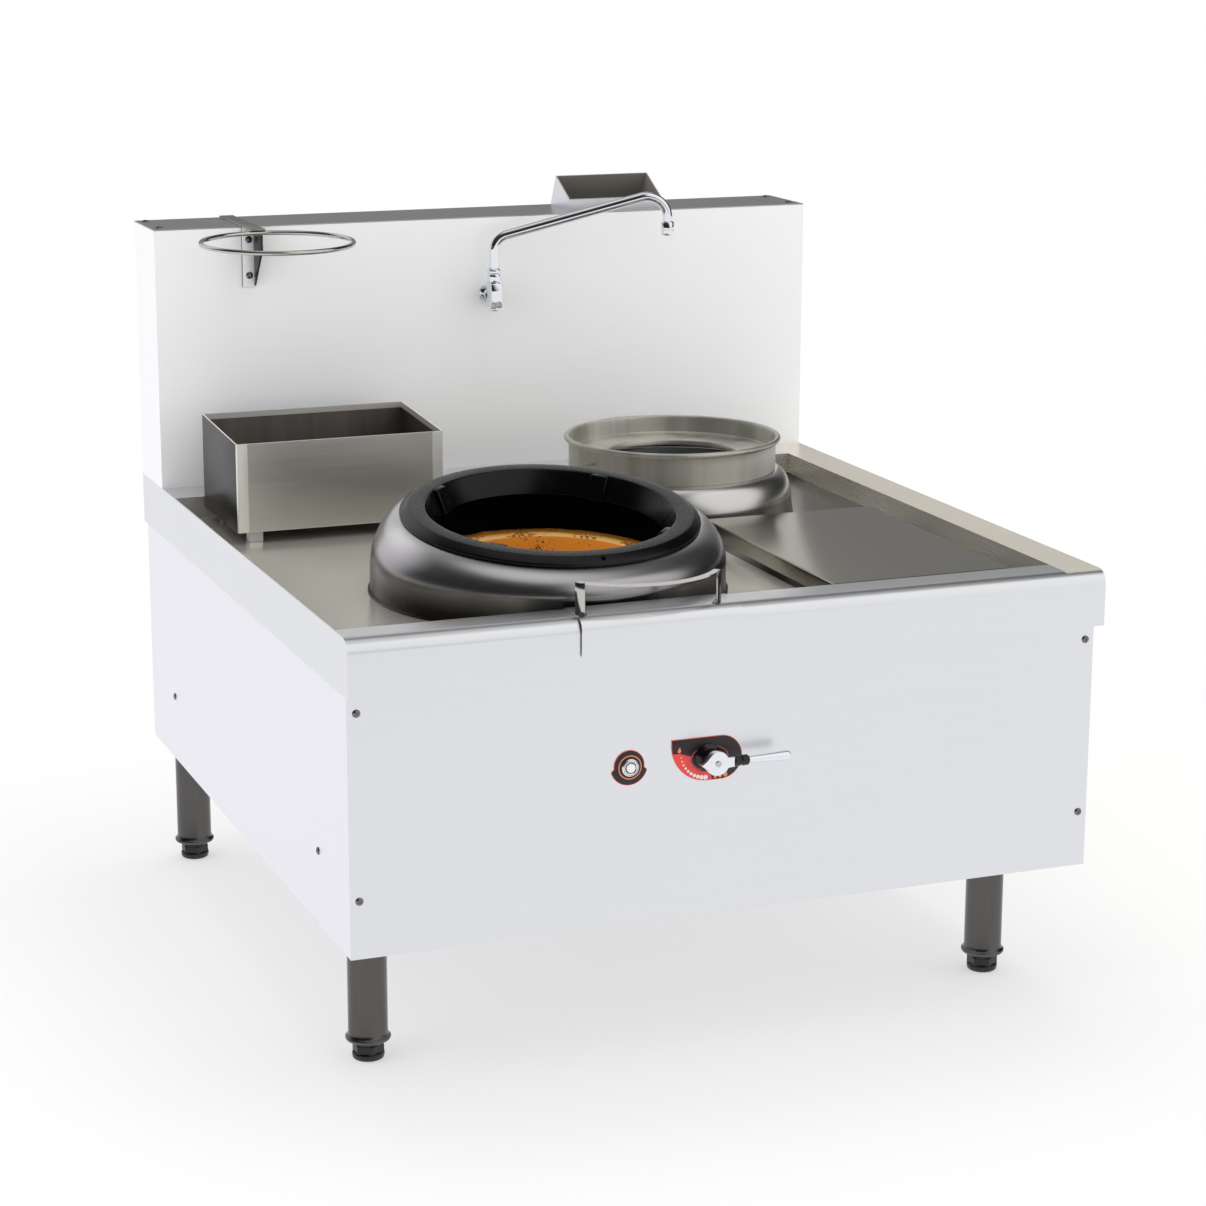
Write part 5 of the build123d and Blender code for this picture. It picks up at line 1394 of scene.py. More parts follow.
@dataclass
class FrontGuard:
    """Lift-off guard hooked over the front rim, with its bowed strap handle."""

    left: float = -255.0
    right: float = -5.0
    front: float = -614.25
    bend_y: float = -587.75
    bend: float = 19.0
    top: float = 703.8
    hook_y: float = -542.95
    hook: float = 12.0
    bottom: float = 647.0
    corner: float = 7.1
    handle: Point = (-142.0, -494.75)
    handle_radius: float = 140.0
    handle_top: float = 750.8
    spread: float = 48.0

    def guard(self) -> Piece:
        """Fold the guard and cut its lower right corner.

        Returns:
            The guard.
        """
        end = (self.hook_y, self.top - self.hook)
        path = rounded((end, (self.hook_y, self.top), (self.bend_y, self.top)), 2.4, 3)[:-1]
        path += arc((self.front + self.bend, self.top - self.bend), self.bend, 90, 180, 14)
        path.append((self.front, self.bottom))
        piece = folded("guard_folded", path, "YZ", self.left, self.right, 1.5)
        middle, reach = Vector((self.right, self.front, self.bottom)), Vector((self.corner, 5, self.corner))
        tool = block("corner_cutter", middle - reach, middle + reach)
        tool.data.transform(about(middle, 45, "Y"))
        return cut(piece, tool)

    def radial(self, degrees: float) -> tuple[Vector, Matrix]:
        """Direction out from the handle's centre, and the turn that faces that way.

        Args:
            degrees: angle from straight ahead of the cook.

        Returns:
            Unit direction and matrix.
        """
        turn = math.radians(degrees)
        outward = Vector((math.sin(turn), -math.cos(turn), 0))
        return outward, Matrix.Rotation(math.atan2(outward.y, outward.x) - math.pi / 2, 4, "Z")

    def strap(self) -> Piece:
        """Bow the strap about its centre and fold its legs down.

        Returns:
            The handle.
        """
        centre, over = Vector((*self.handle, 0)), 3
        strip = added(
            bpy.ops.mesh.primitive_plane_add, "guard_strap", size=1, rotation=(QUARTER, 0, QUARTER)
        )
        outward, facing = self.radial(-self.spread - over)
        middle = centre + Vector((0, 0, self.handle_top - 1)) + outward * self.handle_radius
        strip.data.transform(shift(middle) @ facing @ Matrix.Diagonal((1, 11 * MM, 2 * MM, 1)))
        with editing(strip, "FACE", whole=True):
            angle = -math.radians(2 * (self.spread + over))
            bpy.ops.mesh.spin(steps=48, angle=angle, center=metres(centre), axis=UPWARD)
            close_up()
        pieces = [strip]
        for side in (-1, 1):
            outward, facing = self.radial(side * self.spread)
            place = centre + Vector((0, 0, self.top)) + outward * (self.handle_radius + 4.5)
            leg = block("leg", (-8, -1, 0), (8, 1, self.handle_top - self.top), 0.45, 2)
            foot = block("toe", (-8, -7, 0), (8, 1, 2), 0.45, 2)
            for bit in (leg, foot):
                bit.data.transform(shift(place) @ facing)
                pieces.append(bit)
        return joined(pieces, "guard_strap")

    def dress(self) -> None:
        """Finish guard and strap."""
        dress(self.guard(), SHEET, "guard", "brushed stainless", "front_guard", smooth=30)
        dress(self.strap(), WIRE, "guard", "satin stainless", "guard_handle", smooth=30)


# ------------------------------------------------------------------ ladle ring
@dataclass
class LadleRing:
    """Bent wire ring that holds ladles and strainers, and its bracket."""

    centre: Point = (-438.0, 304.25, 1139.7)
    radius: float = 125.0
    wire: float = 4.0
    droop: float = 0.8
    strap_half: float = 12.5
    strap_front: float = 423.25
    strap_rear: float = 640.25
    plate_front: float = 490.25
    plate_foot: float = 1041.0
    gusset_front: float = 439.25
    gusset_x: Point = (8.5, 11.5)
    slope: Point = (0, -65.0, -51.0)

    def build(self) -> Piece:
        """Spin a wire section all the way round and weld its ends.

        Returns:
            The ring, which hangs down a little from its weld.
        """
        centre = Vector(self.centre)
        piece = added(
            bpy.ops.mesh.primitive_circle_add, "ladle_ring_wire", vertices=16, radius=self.wire * MM,
            location=metres(centre + Vector((self.radius, 0, 0))), rotation=(QUARTER, 0, 0),
        )
        with editing(piece, whole=True):
            bpy.ops.mesh.spin(steps=120, angle=math.tau, center=metres(centre), axis=UPWARD)
            close_up(True)
        piece.data.transform(about(centre + Vector((0, self.radius, 0)), self.droop, "X"))
        return piece

    def bracket(self) -> Piece:
        """Strap over the splash back, screwed plate and the gusset between them.

        Returns:
            The bracket.
        """
        x, half, foot, top = self.centre[0], self.strap_half, self.plate_foot, SPLASH_TOP
        strap = block(
            "strap", (x - half, self.strap_front, top), (x + half, self.strap_rear, top + 3), 0.8, 2
        )
        plate = block("plate", (x - 11.5, self.plate_front, foot), (x + 11.5, SPLASH_Y, top + 0.2), 0.6, 2)
        edge = block("plate_edge", (x - 11.9, 490.6, foot + 0.4), (x - 11.3, 493.2, top - 0.2), 0.15, 1)
        near, far = self.gusset_x
        gusset = block("gusset", (x + near, self.gusset_front, foot), (x + far, 490.4, top + 0.1))
        sliced(
            gusset, (0, self.gusset_front, 1108.0), Vector(self.slope).normalized(), clear_outer=True,
            use_fill=True,
        )
        bevel(gusset, 0.4, 2)
        # The gusset and the thin strip on the plate's left edge take the painted shade.
        pairs = ((strap, GUSSET), (plate, SPLASH), (edge, GUSSET_SIDE), (gusset, GUSSET_SIDE))
        return joined([painted(part, (finish,)) for part, finish in pairs], "ladle_bracket_folded")

    def dress(self) -> None:
        """Finish ring and bracket."""
        dress(self.build(), WIRE, "range", "satin stainless", "ladle_ring", smooth=60)
        dress(self.bracket(), None, "range", "satin stainless", "ladle_bracket", smooth=30)


# ------------------------------------------------------------------ swivel tap
@dataclass
class Tap:
    """Pillar body, wall disc, collar, bent swivel spout and its nozzle."""

    axis: Point = (-9.5, 455.25)
    body_low: float = 990.0
    body_high: float = 1033.0
    stub_z: float = 1010.0
    underside: Profile = ((0.01, 0), (9, 0), (9, 5), (6.5, 7.5), (0.01, 7.5))
    disc: Profile = ((15, 0), (15, 3), (11.2, 3))
    collar: Profile = (
        (10.4, 0), (10.4, 1.2), (12, 2.2), (12, 13.5), (11.2, 14.4), (11.2, 16.2), (12, 17.2), (12, 22.5),
        (9.4, 25),
    )
    nozzle: Profile = (
        (5.6, 22.5), (5.6, 0.9), (6.4, 0.1), (9.9, 0.1), (11.1, 1.2), (11.5, 2.6), (11.5, 9.4), (11.0, 10.0),
        (11.0, 11.2), (11.5, 11.8), (11.5, 20.6), (10.4, 23.2), (8.6, 24.9),
    )
    nozzle_z: float = 1111.0
    spout_foot: float = 1000.3
    spout_radius: float = 8.5
    low_run: float = 88.1
    first_bend: Point = (28.0, 75.35)
    long_run: float = 245.5
    second_bend: Point = (38.0, 104.65)
    drop: float = 4.8
    sweep: float = math.radians(-12.65)

    def body(self) -> Piece:
        """Square body on its round stub.

        Returns:
            The body.
        """
        x, y = self.axis
        pillar = block(
            "tap_pillar", (x - 10, y - 15, self.body_low), (x + 10, y + 15, self.body_high), 1.6, 3
        )
        foot = turned("foot", (x, y, self.body_low + 0.2), (0, 0, -1), rounded(self.underside, 0.8, 2), 40)
        run = SPLASH_Y - y - 14.7
        stub = turned("stub", (x, y + 14.5, self.stub_z), (0, 1, 0), ((11, 0), (11, run)), 48)
        return joined([pillar, foot, stub], "tap_pillar")

    def route(self) -> list:
        """Straight and bent lengths of the spout, from its foot on.

        Returns:
            Runs and bends as in advanced.
        """
        side = Vector((math.cos(self.sweep), math.sin(self.sweep), 0))
        first, second = (*self.first_bend, side), (*self.second_bend, Vector((0, 0, -1)))
        return [(self.low_run,), first, (self.long_run,), second, (self.drop,)]

    def mouth(self) -> Vector:
        """Point at which the spout ends.

        Returns:
            The point, millimetres.
        """
        here, heading = Vector((*self.axis, self.spout_foot)), Vector(UPWARD)
        for step in self.route():
            here, heading = advanced(here, heading, step)
        return here

    def dress(self) -> None:
        """Build and finish the tap."""
        x, y = self.axis
        end = self.mouth()
        dress(self.body(), CHROME, "range", "chrome", "tap_body", smooth=30)
        disc = turned(
            "tap_wall_disc", (x, SPLASH_Y - 0.05, self.stub_z), TO_COOK, rounded(self.disc, 1.2, 3), 56
        )
        dress(disc, CHROME, "range", "chrome", "tap_flange", smooth=30)
        collar = turned("tap_collar_turned", (x, y, self.body_high), UPWARD, rounded(self.collar, 0.5, 2), 56)
        dress(collar, CHROME, "range", "chrome", "tap_collar", smooth=30)
        spout = pipe("tap_spout_tube", (x, y, self.spout_foot), UPWARD, self.route(), self.spout_radius)
        dress(spout, CHROME, "spout", "chrome", "tap_spout", smooth=50)
        nozzle = turned("tap_nozzle_turned", (end.x, end.y, self.nozzle_z), UPWARD, self.nozzle, 56)
        dress(nozzle, CHROME, "spout", "chrome", "tap_nozzle", smooth=30)


# ------------------------------------------------------------------ ignition button
@dataclass
class StartButton:
    """Round badge with a metal bezel, a red ring and a white button."""

    middle: Point = (-170.0, 467.0)
    badge_middle: Point = (-171.3, 469.2)
    badge_radius: float = 24.0
    skirt_radius: float = 29.2
    thick: float = 1.0
    bore: float = 7.4
    cap_foot: float = -588.75
    halo: Profile = ((18.2, 0), (18.2, 0.12), (16.6, 0.12))
    bezel: Profile = ((13.5, 0.1), (13.5, 2.4), (11.9, 3.9), (9.3, 4.0), (8.6, 3.4))
    throat: Profile = ((8.8, 3.5), (8.4, 3.3), (7.2, 3.0), (7.2, 0.4))
    groove: Profile = ((11.3, 4.0), (11.3, 4.06), (10.7, 4.06))
    cap: Profile = ((6.95, 0), (6.95, 4.2), (4.6, 4.45), (0.01, 4.5))

    def shape(self, inset: float) -> list[Point]:
        """Outline of the badge: a round top over a wider crescent."""
        top = arc(self.badge_middle, self.badge_radius - inset, -8, 188, 40)
        return top + arc(self.badge_middle, self.skirt_radius - inset, 195, 345, 40)

    def dress(self) -> None:
        """Build and finish badge, bezel and button."""
        x, z = self.middle
        face = PANEL_Y - self.thick
        rim = outline("button_foil_rim", self.shape(0.0), face + 0.12, self.thick - 0.14)
        foil = outline("button_foil", self.shape(0.8), face, self.thick - 0.1, 0.05)
        for part, finish in ((rim, FOIL_EDGE), (foil, FOIL_BLACK)):
            drilled(painted(part, (finish,)), (x, PANEL_Y, z), self.bore, 20, 56, (QUARTER, 0, 0))
        halo = painted(turned("halo", (x, face + 0.05, z), TO_COOK, self.halo, 72), (FOIL_FLAME,))
        badge = joined([rim, foil, halo], "button_badge_printed")
        dress(badge, None, "range", "badge", "button_badge", smooth=30)
        parts = ((rounded(self.bezel, 0.6, 3), SATIN_ZINC), (self.throat, KNOB), (self.groove, KNOB))
        rings = [
            painted(turned("bezel", (x, face, z), TO_COOK, line, 72), (finish,)) for line, finish in parts
        ]
        dress(joined(rings, "button_bezel_turned"), None, "range", "chrome", "button_bezel", smooth=35)
        cap = turned("button_cap", (x, self.cap_foot, z), TO_COOK, rounded(self.cap, 0.8, 4), 56)
        dress(cap, CAP, "button", "white plastic", "start_button", smooth=40)


# ------------------------------------------------------------------ burner lever
@dataclass
class BurnerLever:
    """Printed badge, moulded hub and plated lever of the burner valve."""

    axis: Point = (-47.0, 470.0)
    thick: float = 1.0
    badge_low: Point = (-105.0, 434.0)
    badge_high: Point = (8.0, 501.0)
    corner: float = 33.5
    heel: float = 58.0
    sector: Profile = (
        (6.2, -29.4), (1.0, -22.6), (-8, -21.4), (-16, -18.4), (-22.5, -13.4), (-26.9, -6.4), (-28.2, -1.5),
        (-27, 3.0), (-44, 9.0),
    )
    ring: Profile = ((30.0, 0), (30.0, 0.12), (28.9, 0.12))
    dots: int = 10
    dot_reach: float = 41.0
    flames: Sequence[tuple] = (
        (-92.4, 483.6, 5.6), (-34.9, 438.8, 5.0), (-27.0, 439.7, 5.8), (-18.4, 440.6, 6.6)
    )
    head_front: float = -627.05
    head_back: float = -614.05
    head_radius: float = 18.4
    neck: Profile = ((20, 7.6), (27, 7.2), (27, -7.2), (20, -7.6))
    pointer: Profile = (
        (-19, -6.2), (-23.5, -3.0), (-25.4, -1.2), (-26, 0), (-25.4, 1.2), (-23.5, 3.0), (-19, 6.2)
    )
    hub: Profile = ((21, 0), (21, 2.2), (17.4, 4.6), (14.2, 7.5), (13.2, 12), (13, 18), (13, 25.8))
    collar: Profile = (
        (5.0, 0), (7.4, 0), (8.0, 2.0), (8.0, 9.2), (6.6, 10.4), (6.6, 11.8), (8.0, 13), (8.0, 21.5),
        (5.6, 24),
    )
    arm: Profile = (
        (5.4, -0.5), (5.4, 0.5), (5.7, 12), (6.3, 28), (7.1, 44), (7.8, 56), (8.0, 60), (7.7, 63),
        (6.6, 65.2), (4.4, 65.9), (0.01, 66),
    )
    arm_y: float = -620.55
    screw: Profile = ((5.0, 0), (5.0, 1.5), (4.5, 2.0), (0.01, 2.0))

    def shape(self, inset: float) -> list[Point]:
        """Outline of the badge: one square corner, three round ones.

        Args:
            inset: how far inside the edge it runs.

        Returns:
            Its points.
        """
        (x0, z0), (x1, z1), r = self.badge_low, self.badge_high, self.corner
        points = [(x0 + inset, z1 - inset)]
        points += arc((x0 + self.heel, z0 + self.heel), self.heel - inset, 180, 270, 30)
        points += arc((x1 - r, z0 + r), r - inset, 270, 360, 20)
        return points + arc((x1 - r, z1 - r), r - inset, 0, 90, 20)

    def flame(self, x: float, z: float, size: float) -> list[Point]:
        """Outline of a plain flame sign: a drop that leans to a point.

        Args:
            x: its middle.
            z: its height.
            size: its width.

        Returns:
            Its points.
        """
        points = []
        for i in range(22):
            turn = math.tau * i / 22 - math.pi / 2
            upper = max(0, math.sin(turn))
            width = 0.5 * math.cos(turn) * (1 - 0.45 * upper) + 0.12 * upper ** 2
            height = 0.62 * math.sin(turn) + 0.30 * upper ** 3
            points.append((x + width * size, z + height * size))
        return points

    def badge(self) -> Piece:
        """Foil with its red edge, sector, dots, ring and flame signs.

        Returns:
            The badge.
        """
        x, z = self.axis
        face = PANEL_Y - self.thick
        (x0, z0), heel, edge = self.badge_low, self.heel, 0.9
        border = arc((x0 + heel, z0 + heel), heel - edge, 193.1, 270, 24) + [(x + 6.8, z0 + edge)]
        sector = border + [(x + dx, z + dz) for dx, dz in self.sector]
        ring = turned("ring", (0, face + 0.05, 0), TO_COOK, self.ring, 96)
        ring.data.transform(shift((x + 3, 0, z - 2)) @ Matrix.Diagonal((1, 1, 19 / 30, 1)))
        prints = [
            (outline("rim", self.shape(0.0), face + 0.12, self.thick - 0.14), FOIL_EDGE),
            (outline("foil", self.shape(edge), face, self.thick - 0.1, 0.05), FOIL_BLACK),
            (outline("sector", sector, face - 0.04, 0.08), FOIL_RED), (ring, FOIL_EDGE),
        ]
        for i in range(self.dots):
            turn, size, reach = math.radians(190 + 8.7 * i), 0.9 + 0.3 * i, self.dot_reach
            place = (x - 2 + reach * math.cos(turn), face - 0.03, z + 10 + reach * math.sin(turn))
            dot = turned("dot", place, TO_COOK, ((size, 0), (size, 0.09), (0.01, 0.09)), 20)
            prints.append((dot, FOIL_WHITE))
        for sign in self.flames:
            prints.append((outline("flame", self.flame(*sign), face - 0.10, 0.12), FOIL_FLAME))
        return joined([painted(part, (finish,)) for part, finish in prints], "lever_badge_printed")

    def head(self) -> Piece:
        """Cast head: round boss, pointer to the left, neck to the collar.

        Returns:
            The head.
        """
        x, z = self.axis
        points = arc((x, z), self.head_radius, 140, 26, 32) + [(x + dx, z + dz) for dx, dz in self.neck]
        points += arc((x, z), self.head_radius, -26, -140, 32) + [(x + dx, z + dz) for dx, dz in self.pointer]
        front, back = self.head_front, self.head_back
        piece = outline("lever_head_cast", points[::-1], front, back - front)
        bevel(piece, 2.4, 4, lambda a, b: max(a.y, b.y) < front + 1 or min(a.y, b.y) > back - 1, clamp=True)
        return piece

    def dress(self) -> None:
        """Build and finish the lever and what it turns on."""
        x, z = self.axis
        dress(self.badge(), None, "range", "badge", "lever_badge", smooth=30)
        seat = (x, PANEL_Y - self.thick, z)
        hub = turned("lever_hub_moulded", seat, TO_COOK, rounded(self.hub, 1.5, 4), 72)
        dress(hub, HUB, "range", "black plastic", "lever_hub", smooth=40)
        dress(self.head(), SATIN_ZINC, "gas_lever", "chrome", "lever_head", smooth=35)
        collar = turned(
            "lever_collar_moulded", (x + 27, self.arm_y, z), TO_RIGHT, rounded(self.collar, 0.6), 48
        )
        dress(collar, KNOB, "gas_lever", "black plastic", "lever_collar", smooth=35)
        arm = turned("lever_arm_turned", (x + 51, self.arm_y, z), TO_RIGHT, self.arm, 48)
        dress(arm, SATIN_ZINC, "gas_lever", "chrome", "lever_arm", smooth=45)
        screw = turned("lever_screw_hex", (x, self.head_front - 0.02, z), TO_COOK, self.screw, 6)
        dress(screw, WIRE, "gas_lever", "satin stainless", "lever_screw", smooth=20)


# ------------------------------------------------------------------ legs, feet and screws
@dataclass
class Legs:
    """Leg tubes with their swaged collars, and the round adjustable feet."""

    places: dict = field(
        default_factory=lambda: {
            "front_left": (-520.0, -410.75), "front_right": (520.0, -410.75),
            "rear_left": (-538.0, 598.25), "rear_right": (538.0, 598.25),
        }
    )
    collar: Profile = ((9.0, 31.0), (33.0, 31.0), (34.5, 33.0), (34.5, 36.4), (31.5, 39.0), (30.0, 44.0))
    tube: Profile = ((30.0, 120.0), (30.0, 227.9))
    sole: Profile = ((0.01, 0), (20.5, 0), (23.6, 2.0), (24.5, 6.5), (24.5, 10), (22.5, 11.5))
    flats: Profile = ((22.0, 10.0), (24.3, 11.2), (24.3, 23.0), (22.0, 24.4))
    head: Profile = (
        (20.4, 23.0), (22.6, 24.2), (23.4, 27.0), (21.8, 30.4), (8.2, 30.6), (8.0, 46.0), (0.01, 46.0)
    )

    def dress(self) -> None:
        """Build and finish the tubes, each narrowed to a rolled collar, and the feet with their hexagons."""
        profile = [*rounded(self.collar, 1.0), *self.tube]
        tubes = [turned("tube", (*place, 0), UPWARD, profile, 64) for place in self.places.values()]
        dress(joined(tubes, "leg_tubes_rolled"), LEG, "range", "dark steel", "leg_tubes", smooth=40)
        parts = ((rounded(self.sole, 1.2, 4), 56), (self.flats, 6), (rounded(self.head, 0.8), 56))
        for name, place in self.places.items():
            foot = [turned("foot", (*place, 0), UPWARD, line, sides) for line, sides in parts]
            foot = joined(foot, f"adjustable_foot_{name}")
            dress(foot, FOOT, f"foot_{name}", "black foot", f"foot_{name}", smooth=32)


@dataclass
class Screws:
    """Cross-recessed screws with domed heads."""

    head: float = 6.0
    step: float = 0.5
    dome: float = 2.6
    recess: Point = (2.9, 0.55, 1.3)
    recess_turn: float = 25.0
    side_x: float = 596.0
    front: Sequence[Point] = ((-582, 590), (582, 590), (-582, 313), (582, 313))
    side: Sequence[Point] = ((-426.75, 340), (464.25, 340))
    top: Sequence[Point] = ((-584, 525.25), (584, 525.25), (-584, 624.25), (584, 624.25))
    bracket: Sequence[Point] = ((-438, 1122), (-438, 1061))

    def screw(self, place: Point, facing: Point) -> Piece:
        """One domed head with a cross pressed into it.

        Args:
            place: middle of its foot.
            facing: direction in which it stands out.

        Returns:
            The screw.
        """
        profile = [(self.head, 0.02), (self.head, self.step)]
        for i in range(1, 9):
            turn = QUARTER * i / 8
            rise = (self.dome - self.step) * math.sin(turn)
            profile.append((self.head * math.cos(turn) + 0.01, self.step + rise))
        piece = turned("screw", place, facing, profile, 32)
        up = Vector(facing)
        upright = up.to_track_quat("Z", "Y").to_matrix().to_4x4()
        for i in range(2):
            arm = block("recess", [-v for v in self.recess], self.recess)
            turn = Matrix.Rotation(math.radians(self.recess_turn + 90 * i), 4, "Z")
            arm.data.transform(shift(Vector(place) + up * self.dome) @ upright @ turn)
            cut(piece, painted(arm, (SCREW_DARK,)))
        return piece

    def dress(self) -> None:
        """Build and finish panel screws and bracket screws."""
        heads = [((x, PANEL_Y, z), TO_COOK) for x, z in self.front]
        heads += [((side * self.side_x, y, z), (side, 0, 0)) for side in (-1, 1) for y, z in self.side]
        heads += [((x, y, SPLASH_TOP), UPWARD) for x, y in self.top]
        panel = joined([self.screw(*head) for head in heads], "panel_screw_heads")
        dress(panel, SCREW, "range", "satin stainless", "panel_screws", smooth=40)
        bracket = [self.screw((x, LadleRing.plate_front, z), TO_COOK) for x, z in self.bracket]
        bracket = joined(bracket, "bracket_screw_heads")
        dress(bracket, SCREW, "range", "satin stainless", "ladle_screws", smooth=40)


# ------------------------------------------------------------------ parts kept from the drawing
@dataclass
class SheetParts:
    """Flat, folded and hidden parts that keep their drawn shape and get a finish."""

    finishes: Sequence[tuple] = (
        (SHEET, ("front_panel", "rear_panel", "bottom_panel")),
        (SPLASH, ("splash_back",)),
        (SIDE, ("left_side_panel", "right_side_panel")),
        (TOPS, ("splash_top_left", "splash_top_middle", "splash_top_right")),
        (FLUE, ("flue_outlet",)),
        (GALVANISED, ("flue_duct", "burner_bowl", "heat_channel", "rear_chamber", "air_pipe")),
        (BOX_SEAM, ("utensil_box_feet",)),
        (WIRE, ("drain_outlet", "igniter_rod")),
        (LEG, ("base_frame",)),
        (IRON, ("burner_head",)),
        (KNOB, ("ignition_module", "button_switch")),
        (BRASS, ("water_pipe", "gas_pipe", "gas_feed", "gas_valve")),
        (PRIMER, ("blower",)),
    )

    def dress(self) -> None:
        """Give each part its finish."""
        for finish, names in self.finishes:
            for name in names:
                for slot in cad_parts[name].material_slots:
                    slot.material = finish_of(finish)
                LOG.info("%s keeps its drawn shape, in %s", name, finish.name)


# ------------------------------------------------------------------ studio
@dataclass
class Studio:
    """Camera of the photograph, pale floor and soft studio light."""

    eye: Point = (-1.71993, -4.42895, 1.7398)
    azimuth: float = 21.42
    elevation: float = 13.92
    roll: float = 0.18
    focal: float = 2976.32          # in pixels of the frame
    frame_pixels: float = 1206.0
    sensor: float = 36.0
    floor_drop: float = 0.0005      # keeps the paper clear of the feet, metres
    shade_reach: Point = (1.15, 2.3)
    mirrored_floor: float = 0.95
    mirrored_share: float = 0.85
    paleness: float = 0.5
    ambient: float = 0.85
    front_levels: Profile = ((0.0, 0.02), (0.70, 0.04), (0.86, 0.16), (0.95, 0.70), (1.0, 0.88))
    rear_levels: Profile = ((0.0, 0.26), (0.22, 0.26), (0.50, 0.55), (0.85, 0.85))
    panels: Sequence[tuple] = (
        ((-0.47, 0.81, 0.34), (0.82, 0.94), "#F5F4FB", 0.6),
        ((0.557, -0.663, 0.50), (0.74, 0.87), "#FFFFFF", 0.95),
    )
    lamps: Sequence[tuple] = (
        ("softbox_top", (0.2, 0.3, 3.3), (2.6, 1.8), 42, "#FFFBF2"),
        ("softbox_left", (-3.2, -1.0, 2.3), (1.6, 2.2), 22, "#F3F1FF"),
        ("softbox_right", (3.4, -1.6, 2.2), (0.7, 2.0), 10, "#FFFFFF"),
    )
    lamp_aim: Point = (0, 0, 0.7)

    def camera(self) -> None:
        """Place the camera and make it the scene's own."""
        data = bpy.data.cameras.new("camera")
        data.sensor_width = self.sensor
        data.lens = self.focal / self.frame_pixels * self.sensor
        data.clip_start, data.clip_end = 0.05, 60.0
        shot = bpy.data.objects.new("camera", data)
        bpy.context.scene.collection.objects.link(shot)
        az, el, roll = (math.radians(v) for v in (self.azimuth, self.elevation, self.roll))
        ahead = Vector((math.sin(az) * math.cos(el), math.cos(az) * math.cos(el), -math.sin(el)))
        right = Vector((math.cos(az), -math.sin(az), 0))
        up = right.cross(ahead)
        right, up = right * math.cos(roll) + up * math.sin(roll), up * math.cos(roll) - right * math.sin(roll)
        turn = Matrix((right, up, -ahead)).transposed()
        shot.matrix_world = Matrix.Translation(self.eye) @ turn.to_4x4()
        bpy.context.scene.camera = shot

    def floor(self) -> None:
        """Pale paper floor: shaded near the range, plain white farther off and in the steel's reflections."""
        bpy.ops.object.select_all(action="DESELECT")
        bpy.ops.mesh.primitive_plane_add(size=60, location=(0, 0, -self.floor_drop))
        ground = bpy.context.object
        ground.name = "studio_floor"
        paper = bpy.data.materials.new("studio_floor_paper")
        paper.use_nodes = True
        tree = paper.node_tree
        tree.nodes.clear()
        glossy = node(tree, "ShaderNodeLightPath").outputs["Is Glossy Ray"]
        reach = vector(tree, "LENGTH", node(tree, "ShaderNodeTexCoord").outputs["Object"])
        matte = node(tree, "ShaderNodeBsdfDiffuse", Color=linear("#F2F2F2"))
        plain = node(tree, "ShaderNodeEmission", Color=linear("#FFFFFF"), Strength=1.0)
        mirrored = node(tree, "ShaderNodeEmission", Color=linear("#FDFDFF"), Strength=self.mirrored_floor)
        paled = layered(tree, self.paleness, matte, plain)
        seen = layered(tree, fade(tree, reach, *self.shade_reach), paled, plain)
        both = layered(tree, calc(tree, "MULTIPLY", glossy, self.mirrored_share), seen, mirrored)
        node(tree, "ShaderNodeOutputMaterial", Surface=both.outputs[0])
        ground.data.materials.append(paper)

    def world(self) -> None:
        """White where the camera looks; for the steel a dark room with soft light above and beside it."""
        world = bpy.data.worlds.new("studio_world")
        bpy.context.scene.world = world
        world.use_nodes = True
        tree = world.node_tree
        tree.nodes.clear()
        path = node(tree, "ShaderNodeLightPath")
        ray = node(tree, "ShaderNodeTexCoord").outputs["Generated"]
        split = node(tree, "ShaderNodeSeparateXYZ", Vector=ray)
        front, rear = (
            ramp(tree, split.outputs["Z"], [(place, grey(level)) for place, level in levels])
            for levels in (self.front_levels, self.rear_levels)
        )
        total = blend(tree, fade(tree, split.outputs["Y"], 0.5, 0.85), front, rear)
        for towards, (start, full), tint, level in self.panels:
            aim = vector(tree, "DOT_PRODUCT", ray, Vector(towards).normalized())
            lit = node(
                tree, "ShaderNodeVectorMath", {"operation": "SCALE"}, in0=linear(tint)[:3],
                Scale=fade(tree, aim, start, full, level),
            )
            total = vector(tree, "ADD", total, lit.outputs[0])
        seen = node(tree, "ShaderNodeBackground", Color=(1, 1, 1, 1), Strength=1.0)
        dark_room = node(tree, "ShaderNodeBackground", Color=total, Strength=1.0)
        soft = node(tree, "ShaderNodeBackground", Color=(1, 1, 1, 1), Strength=self.ambient)
        lit = layered(tree, path.outputs["Is Glossy Ray"], soft, dark_room)
        mixed = layered(tree, path.outputs["Is Camera Ray"], lit, seen)
        node(tree, "ShaderNodeOutputWorld", Surface=mixed.outputs[0])

    def lamp(self, name: str, place: Point, size: Point, power: float, tint: str) -> None:
        """Hang one softbox that the steel doesn't mirror.

        Args:
            name: its name.
            place: where it hangs, metres.
            size: width and height.
            power: watts.
            tint: its colour.
        """
        data = bpy.data.lights.new(name, "AREA")
        data.color = linear(tint)[:3]
        data.shape = "RECTANGLE"
        data.size, data.size_y = size
        data.energy = power
        light = bpy.data.objects.new(name, data)
        light.visible_glossy = False
        bpy.context.scene.collection.objects.link(light)
        away = Vector(place) - Vector(self.lamp_aim)
        light.matrix_world = Matrix.Translation(place) @ away.to_track_quat("Z", "Y").to_matrix().to_4x4()

    def build(self) -> None:
        """Set up camera, floor, world and lights."""
        bpy.context.scene.view_settings.view_transform = "Standard"
        self.camera()
        self.floor()
        self.world()
        for lamp in self.lamps:
            self.lamp(*lamp)
        LOG.info("studio set")


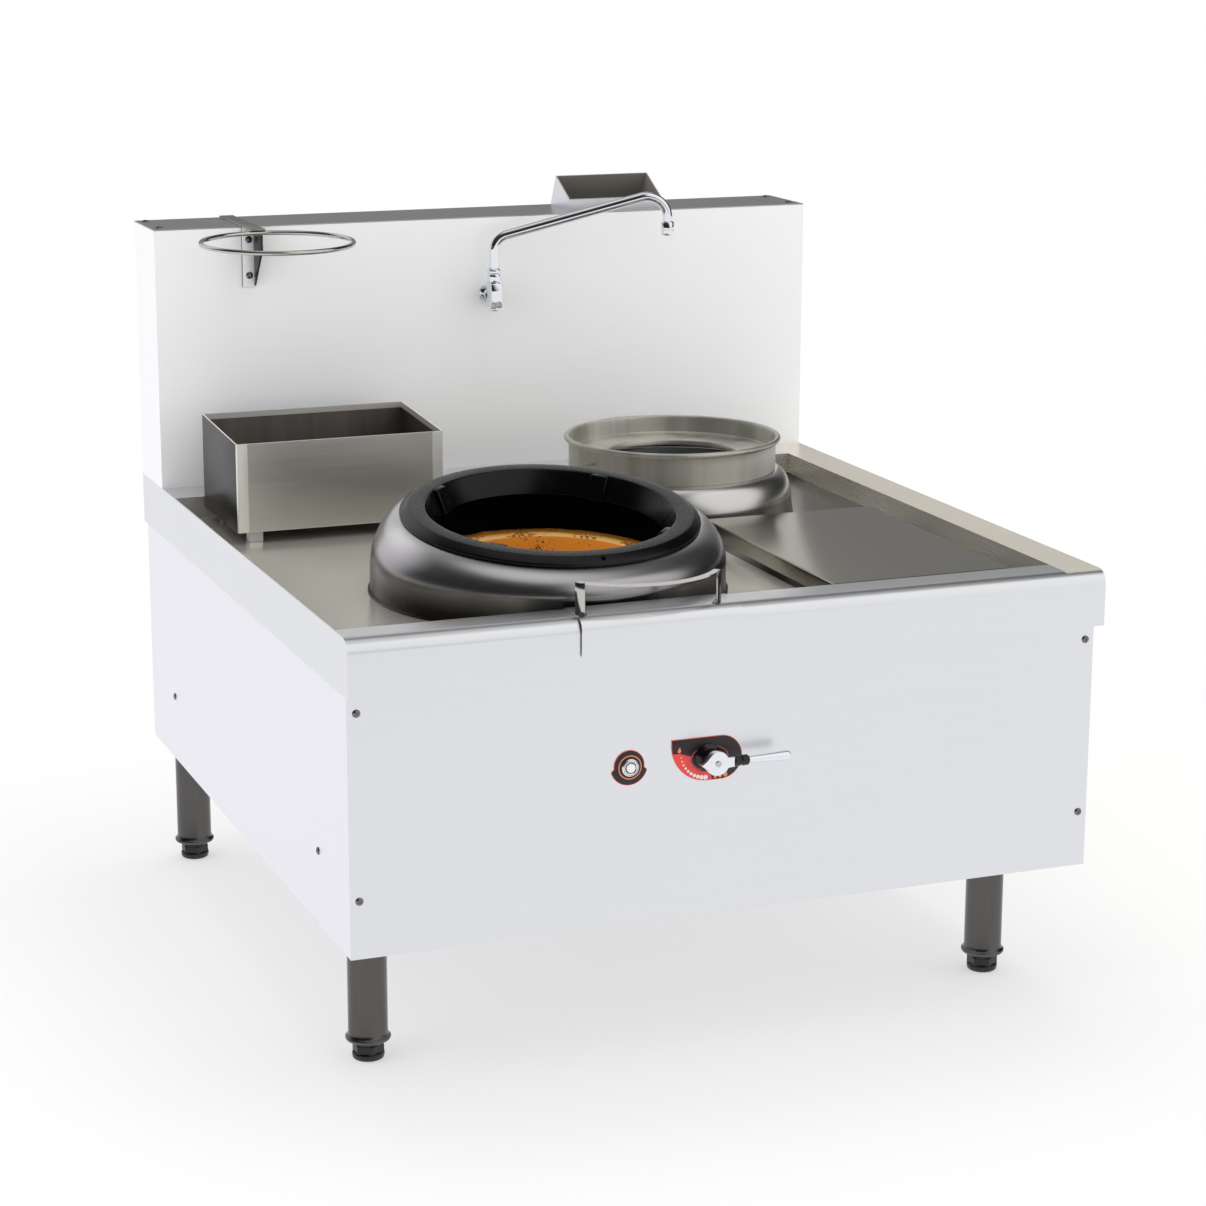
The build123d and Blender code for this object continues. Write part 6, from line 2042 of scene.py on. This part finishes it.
def main() -> None:
    """Build every sub-assembly in order, then the studio."""
    logging.basicConfig(level=logging.INFO, format="%(message)s")
    for assembly in (
        SheetParts(), Worktop(), WokStation(), PotStation(), CoverPlate(), UtensilBox(), FrontGuard(),
        LadleRing(), Tap(), StartButton(), BurnerLever(), Legs(), Screws(),
    ):
        LOG.info("building %s", type(assembly).__name__)
        assembly.dress()
    Studio().build()


if __name__ == "__main__":
    main()
